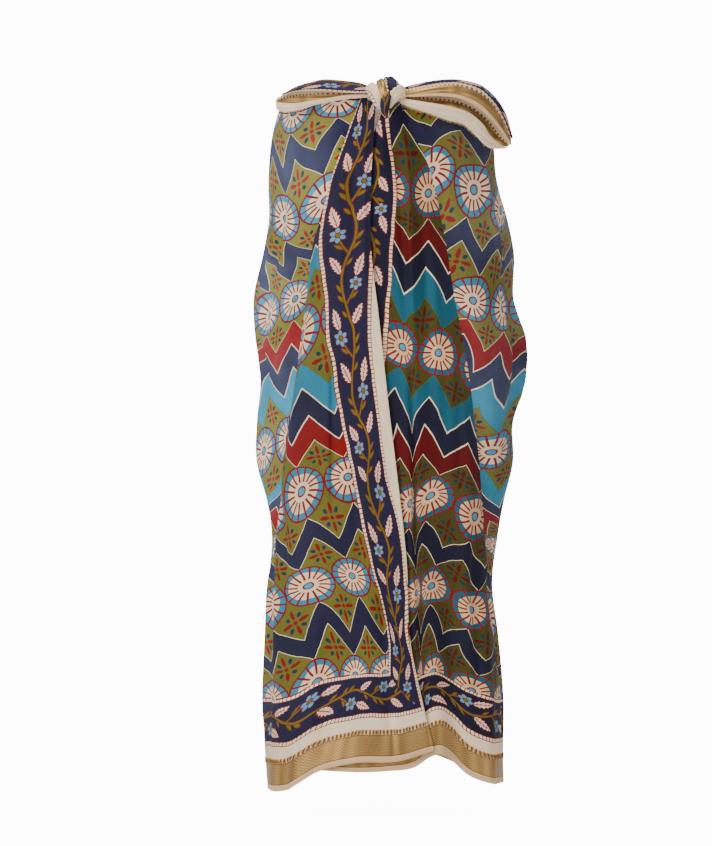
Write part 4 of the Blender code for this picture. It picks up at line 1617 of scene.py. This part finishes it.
# Each wrap is the range of the flat cloth that shows on it, up and along, and its path.
WRAPS = {
    "core": (
        (700, 1000),
        (300, 330),
        (
            (-22, -113, 2, 8, 7), (-12, -117, 3, 13, 9), (0, -118, 2, 15, 10),
            (12, -117, 2, 13, 9), (22, -113, 0, 8, 7),
        ),
    ),
    "left_turn": (
        (1118, 1096),
        (200, 250),
        (
            (-25, -113, 8, 7, 4), (-19, -124, 11, 9, 5), (-12, -131, 3, 9, 5),
            (-7, -128, -9, 7, 5), (-3, -119, -15, 5, 4),
        ),
    ),
    "gold_turn": (
        (1122, 1152),
        (260, 320),
        (
            (-6, -108, 18, 6, 4), (-6, -121, 20, 7, 5), (-4, -132, 13, 7, 5),
            (-1, -136, 2, 6, 4), (0, -131, -10, 5, 4),
        ),
    ),
    "top_turn": (
        (950, 985),
        (190, 222),
        (
            (1, -106, 14, 8, 5), (4, -119, 22, 9, 6), (9, -129, 17, 8, 5),
            (12, -132, 8, 7, 4), (10, -126, -2, 5, 4),
        ),
    ),
    "right_puff": (
        (500, 520),
        (6, 10),
        (
            (24, -112, 1, 7, 5), (20, -123, 8, 9, 6), (13, -130, 6, 9, 6),
            (8, -128, -3, 7, 5), (5, -120, -12, 5, 4),
        ),
    ),
    "centre_strip": (
        (1050, 1085),
        (150, 200),
        (
            (3, -124, 12, 5, 4), (2, -134, 5, 6, 4), (0, -136, -5, 6, 4),
            (-1, -132, -16, 6, 4), (2, -121, -24, 6, 4),
        ),
    ),
}


def wrap(up_range, along_range, rows, steps=28, sides=36):
    """A pleated flat tube along a short path, closed at both ends. Returns its points and flat places."""
    stations = np.linspace(0, len(rows) - 1, steps)
    at = along_guide(rows, WRAP_COLUMNS, stations)
    path = np.stack([at["x"], at["y"], at["z"] - KNOT_MIDDLE_BELOW], axis=-1)
    forward = np.gradient(path, axis=0)
    forward /= np.linalg.norm(forward, axis=1)[:, None]
    outward = path - KNOT_AXIS
    outward -= forward * (outward * forward).sum(1)[:, None]
    outward /= np.linalg.norm(outward, axis=1)[:, None]
    sideways = np.cross(forward, outward)
    turn = np.linspace(0, 2 * math.pi, sides, endpoint=False)
    pleats = 1 + PLEAT_DEPTH * np.cos(turn * PLEATS + stations[:, None] * PLEAT_DRIFTS)
    share = np.clip(np.linspace(0, 1, steps), WRAP_END, 1 - WRAP_END)
    taper = np.sin(share * math.pi) ** WRAP_BLUNT
    wide = (at["half_width"] * taper)[:, None] * np.cos(turn)[None] * pleats
    deep = (at["half_depth"] * taper)[:, None] * np.sin(turn)[None] * pleats
    points = path[:, None] + sideways[:, None] * wide[..., None] + outward[:, None] * deep[..., None]
    along = np.broadcast_to(np.linspace(*along_range, steps)[:, None], points.shape[:2])
    up = up_range[0] + (up_range[1] - up_range[0]) * (0.5 + 0.5 * np.cos(turn))
    return points, along, np.broadcast_to(up[None], points.shape[:2])


def make_knot():
    parts = []
    for row in WRAPS.values():
        points, along, up = wrap(*row)
        steps, sides = points.shape[:2]
        first, last = list(range(sides)), list(range((steps - 1) * sides, steps * sides))
        faces = grid_faces(steps, sides, closed=True).tolist() + [first[::-1], last]
        parts.append((points, faces, along, up))
    mesh = cloth_mesh("knot_cloth", *joined(parts), (OUTSIDE,))
    print("knot", len(WRAPS), "wraps,", len(mesh.polygons), "faces")
    return place_object("knot_cloth", mesh)


knot = make_knot()

# %% [markdown]
# Thread work repeats along a line of the cloth, so Geometry Nodes place it. The tree turns an edge path
# into points at an even pitch, sets a small ring of thread on each, with its long side along the path, and
# varies the sizes a little from a fixed seed. A flat ring reads as a running stitch, an upright one as a
# metal loop, a long thin one as a loose thread. Every result is converted to a plain mesh.

# %% Thread work
THREAD_INPUTS = (
    ("Pitch", "NodeSocketFloat", 0.0056),
    ("Half Length", "NodeSocketFloat", 0.0012),
    ("Half Height", "NodeSocketFloat", 0.0012),
    ("Thread", "NodeSocketFloat", 0.0003),
    ("Least Size", "NodeSocketFloat", 0.85),
    ("Greatest Size", "NodeSocketFloat", 1.15),
    ("Seed", "NodeSocketInt", 1),
    ("Material", "NodeSocketMaterial", None),
)


def thread_material(name, colour, metallic, roughness):
    material, shader = new_material(name)
    set_inputs(shader, {"Base Color": colour, "Metallic": metallic, "Roughness": roughness})
    return material


def thread_rings(tree, given):
    """One ring of thread, its long side along the path, in the sizes that are given."""
    circle = "GeometryNodeCurvePrimitiveCircle"
    ring = add_node(tree, circle, {"Resolution": 12, "Radius": 1.0})
    profile = add_node(tree, circle, {"Resolution": 5, "Radius": given["Thread"]})
    inputs = {"X": given["Half Length"], "Y": given["Half Height"], "Z": 1.0}
    size = add_node(tree, "ShaderNodeCombineXYZ", inputs)
    quarter_turn = (0.0, math.radians(90), 0.0)
    inputs = {"Geometry": ring.outputs["Curve"], "Rotation": quarter_turn, "Scale": size.outputs[0]}
    shaped = add_node(tree, "GeometryNodeTransform", inputs)
    inputs = {"Curve": shaped.outputs["Geometry"], "Profile Curve": profile.outputs["Curve"]}
    return add_node(tree, "GeometryNodeCurveToMesh", inputs).outputs["Mesh"]


def thread_tree():
    """Rings of thread along a path. Returns the tree and the identifiers of its inputs."""
    tree = bpy.data.node_groups.new("thread_work", "GeometryNodeTree")
    tree.interface.new_socket("Geometry", in_out="INPUT", socket_type="NodeSocketGeometry")
    named = {}
    for name, kind, value in THREAD_INPUTS:
        socket = tree.interface.new_socket(name, in_out="INPUT", socket_type=kind)
        if value is not None:
            socket.default_value = value
        named[name] = socket.identifier
    tree.interface.new_socket("Geometry", in_out="OUTPUT", socket_type="NodeSocketGeometry")
    given = tree.nodes.new("NodeGroupInput").outputs
    path = add_node(tree, "GeometryNodeMeshToCurve", {"Mesh": given["Geometry"]})
    upright = add_node(tree, "GeometryNodeSetCurveNormal", {"Curve": path.outputs["Curve"]}, mode="Z_UP")
    inputs = {"Curve": upright.outputs["Curve"], "Length": given["Pitch"]}
    points = add_node(tree, "GeometryNodeCurveToPoints", inputs, mode="LENGTH").outputs
    inputs = {2: given["Least Size"], 3: given["Greatest Size"], "Seed": given["Seed"]}
    vary = add_node(tree, "FunctionNodeRandomValue", inputs, data_type="FLOAT")
    inputs = {"Points": points["Points"], "Rotation": points["Rotation"], "Scale": vary.outputs[1]}
    placed = add_node(tree, "GeometryNodeInstanceOnPoints", inputs | {"Instance": thread_rings(tree, given)})
    real = add_node(tree, "GeometryNodeRealizeInstances", {"Geometry": placed.outputs["Instances"]})
    inputs = {"Geometry": real.outputs["Geometry"], "Material": given["Material"]}
    dressed = add_node(tree, "GeometryNodeSetMaterial", inputs)
    add_node(tree, "NodeGroupOutput", {"Geometry": dressed.outputs["Geometry"]})
    return tree, named


THREAD_TREE, THREAD_SOCKETS = thread_tree()
METAL_THREAD = thread_material("metal_thread", ink(158, 108, 44), 0.6, 0.4)
COTTON_THREAD = thread_material("cotton_thread", ink(206, 168, 122), 0.0, 0.8)
print("thread tree", len(THREAD_TREE.nodes), "nodes")

# %% [markdown]
# The loops and the stitches follow lines of the print: the paths are found where the flat cloth's height
# above the hem is the one wanted, so the loops stand on the gold band however the cloth is draped. The
# loose threads follow the raw lower edge of the right tie end.

# %% Loops, stitches and loose threads
STITCH_HEIGHT = 4.0
LOOP_LIFT, STITCH_LIFT = 0.35, 0.2
# Sizes of the rings, in metres, under the names of the tree's inputs.
LOOPS = {"pitch": 0.0056, "half_length": 0.0011, "half_height": 0.0026, "thread": 0.00045}
STITCHES = {"pitch": 0.0048, "half_length": 0.0014, "half_height": 0.00012, "thread": 0.00028}
FRAYS = {"pitch": 0.0009, "half_length": 0.0002, "half_height": 0.0016, "thread": 0.00009}
FRAY_SIZES = {"least_size": 0.3, "greatest_size": 1.5}


def thread_along(name, points, **values):
    """Thread work along a path of points in metres, as a plain mesh object. values are the tree's inputs."""
    mesh = bpy.data.meshes.new(name + "_path")
    mesh.from_pydata(points.tolist(), [(i, i + 1) for i in range(len(points) - 1)], [])
    guide = place_object(name + "_path", mesh)
    modifier = guide.modifiers.new("thread_work", "NODES")
    modifier.node_group = THREAD_TREE
    for key, value in values.items():
        modifier[THREAD_SOCKETS[key.replace("_", " ").title()]] = value
    graph = bpy.context.evaluated_depsgraph_get()
    made = bpy.data.meshes.new_from_object(guide.evaluated_get(graph))
    made.name = name
    made.shade_smooth()
    bpy.data.objects.remove(guide)
    print(name, len(made.polygons), "faces")
    return place_object(name, made)


def line_on_cloth(grid, up, level, lift):
    """The line on a stretch where the print's height above the hem is level, lifted off the cloth."""
    rows = np.arange(len(up), dtype=float)
    points = []
    for j in range(2, up.shape[1] - 2):
        at = np.interp(level, up[::-1, j], rows[::-1])
        x, y, below = (np.interp(at, rows, grid[key][:, j]) for key in ("x", "y", "below"))
        out = grid["out"][int(round(at)), j]
        points.append((x + out[0] * lift, y + out[1] * lift, -below))
    return np.array(points) * MM


def hem_threads():
    made = []
    for seed, (name, grid) in enumerate(grids.items(), 1):
        up = places[name][1]
        line = line_on_cloth(grid, up, LOOP_MIDDLE, LOOP_LIFT)
        loops = thread_along(name + "_loops", line, **LOOPS, seed=seed, material=METAL_THREAD)
        line = line_on_cloth(grid, up, STITCH_HEIGHT, STITCH_LIFT)
        stitches = thread_along(name + "_stitches", line, **STITCHES, seed=seed + 20, material=COTTON_THREAD)
        made += [(loops, name), (stitches, name)]
    return made


def frayed_edge():
    """Loose threads along the raw lower edge of the right tie end's flap."""
    at = along_guide(RIGHT_FLAP, RIBBON_COLUMNS, np.linspace(0.2, 5.2, 60))
    points = np.stack([at["x_low"], at["y_low"] - 0.2, at["z_low"] - 0.8], axis=-1) * MM
    values = FRAYS | FRAY_SIZES | {"seed": 7, "material": COTTON_THREAD}
    return thread_along("tie_end_right_frays", points, **values)


threads = hem_threads() + [(frayed_edge(), "tie_end_right")]

# %% [markdown]
# Last, each piece is named for the solid that it stands for and rides on the one body. The solids are
# kept, but hidden.

# %% Naming what each piece is
for name, shell in shells.items():
    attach(shell, "root")
    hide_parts(name)
for piece, name in ((knot, "knot"), (tie_left, "tie_end_left"), (tie_right, "tie_end_right")):
    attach(piece, "root")
    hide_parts(name)

for piece, name in threads:
    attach(piece, "root")
    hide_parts(name)
print("pieces", len(shells) + len(threads) + 3)
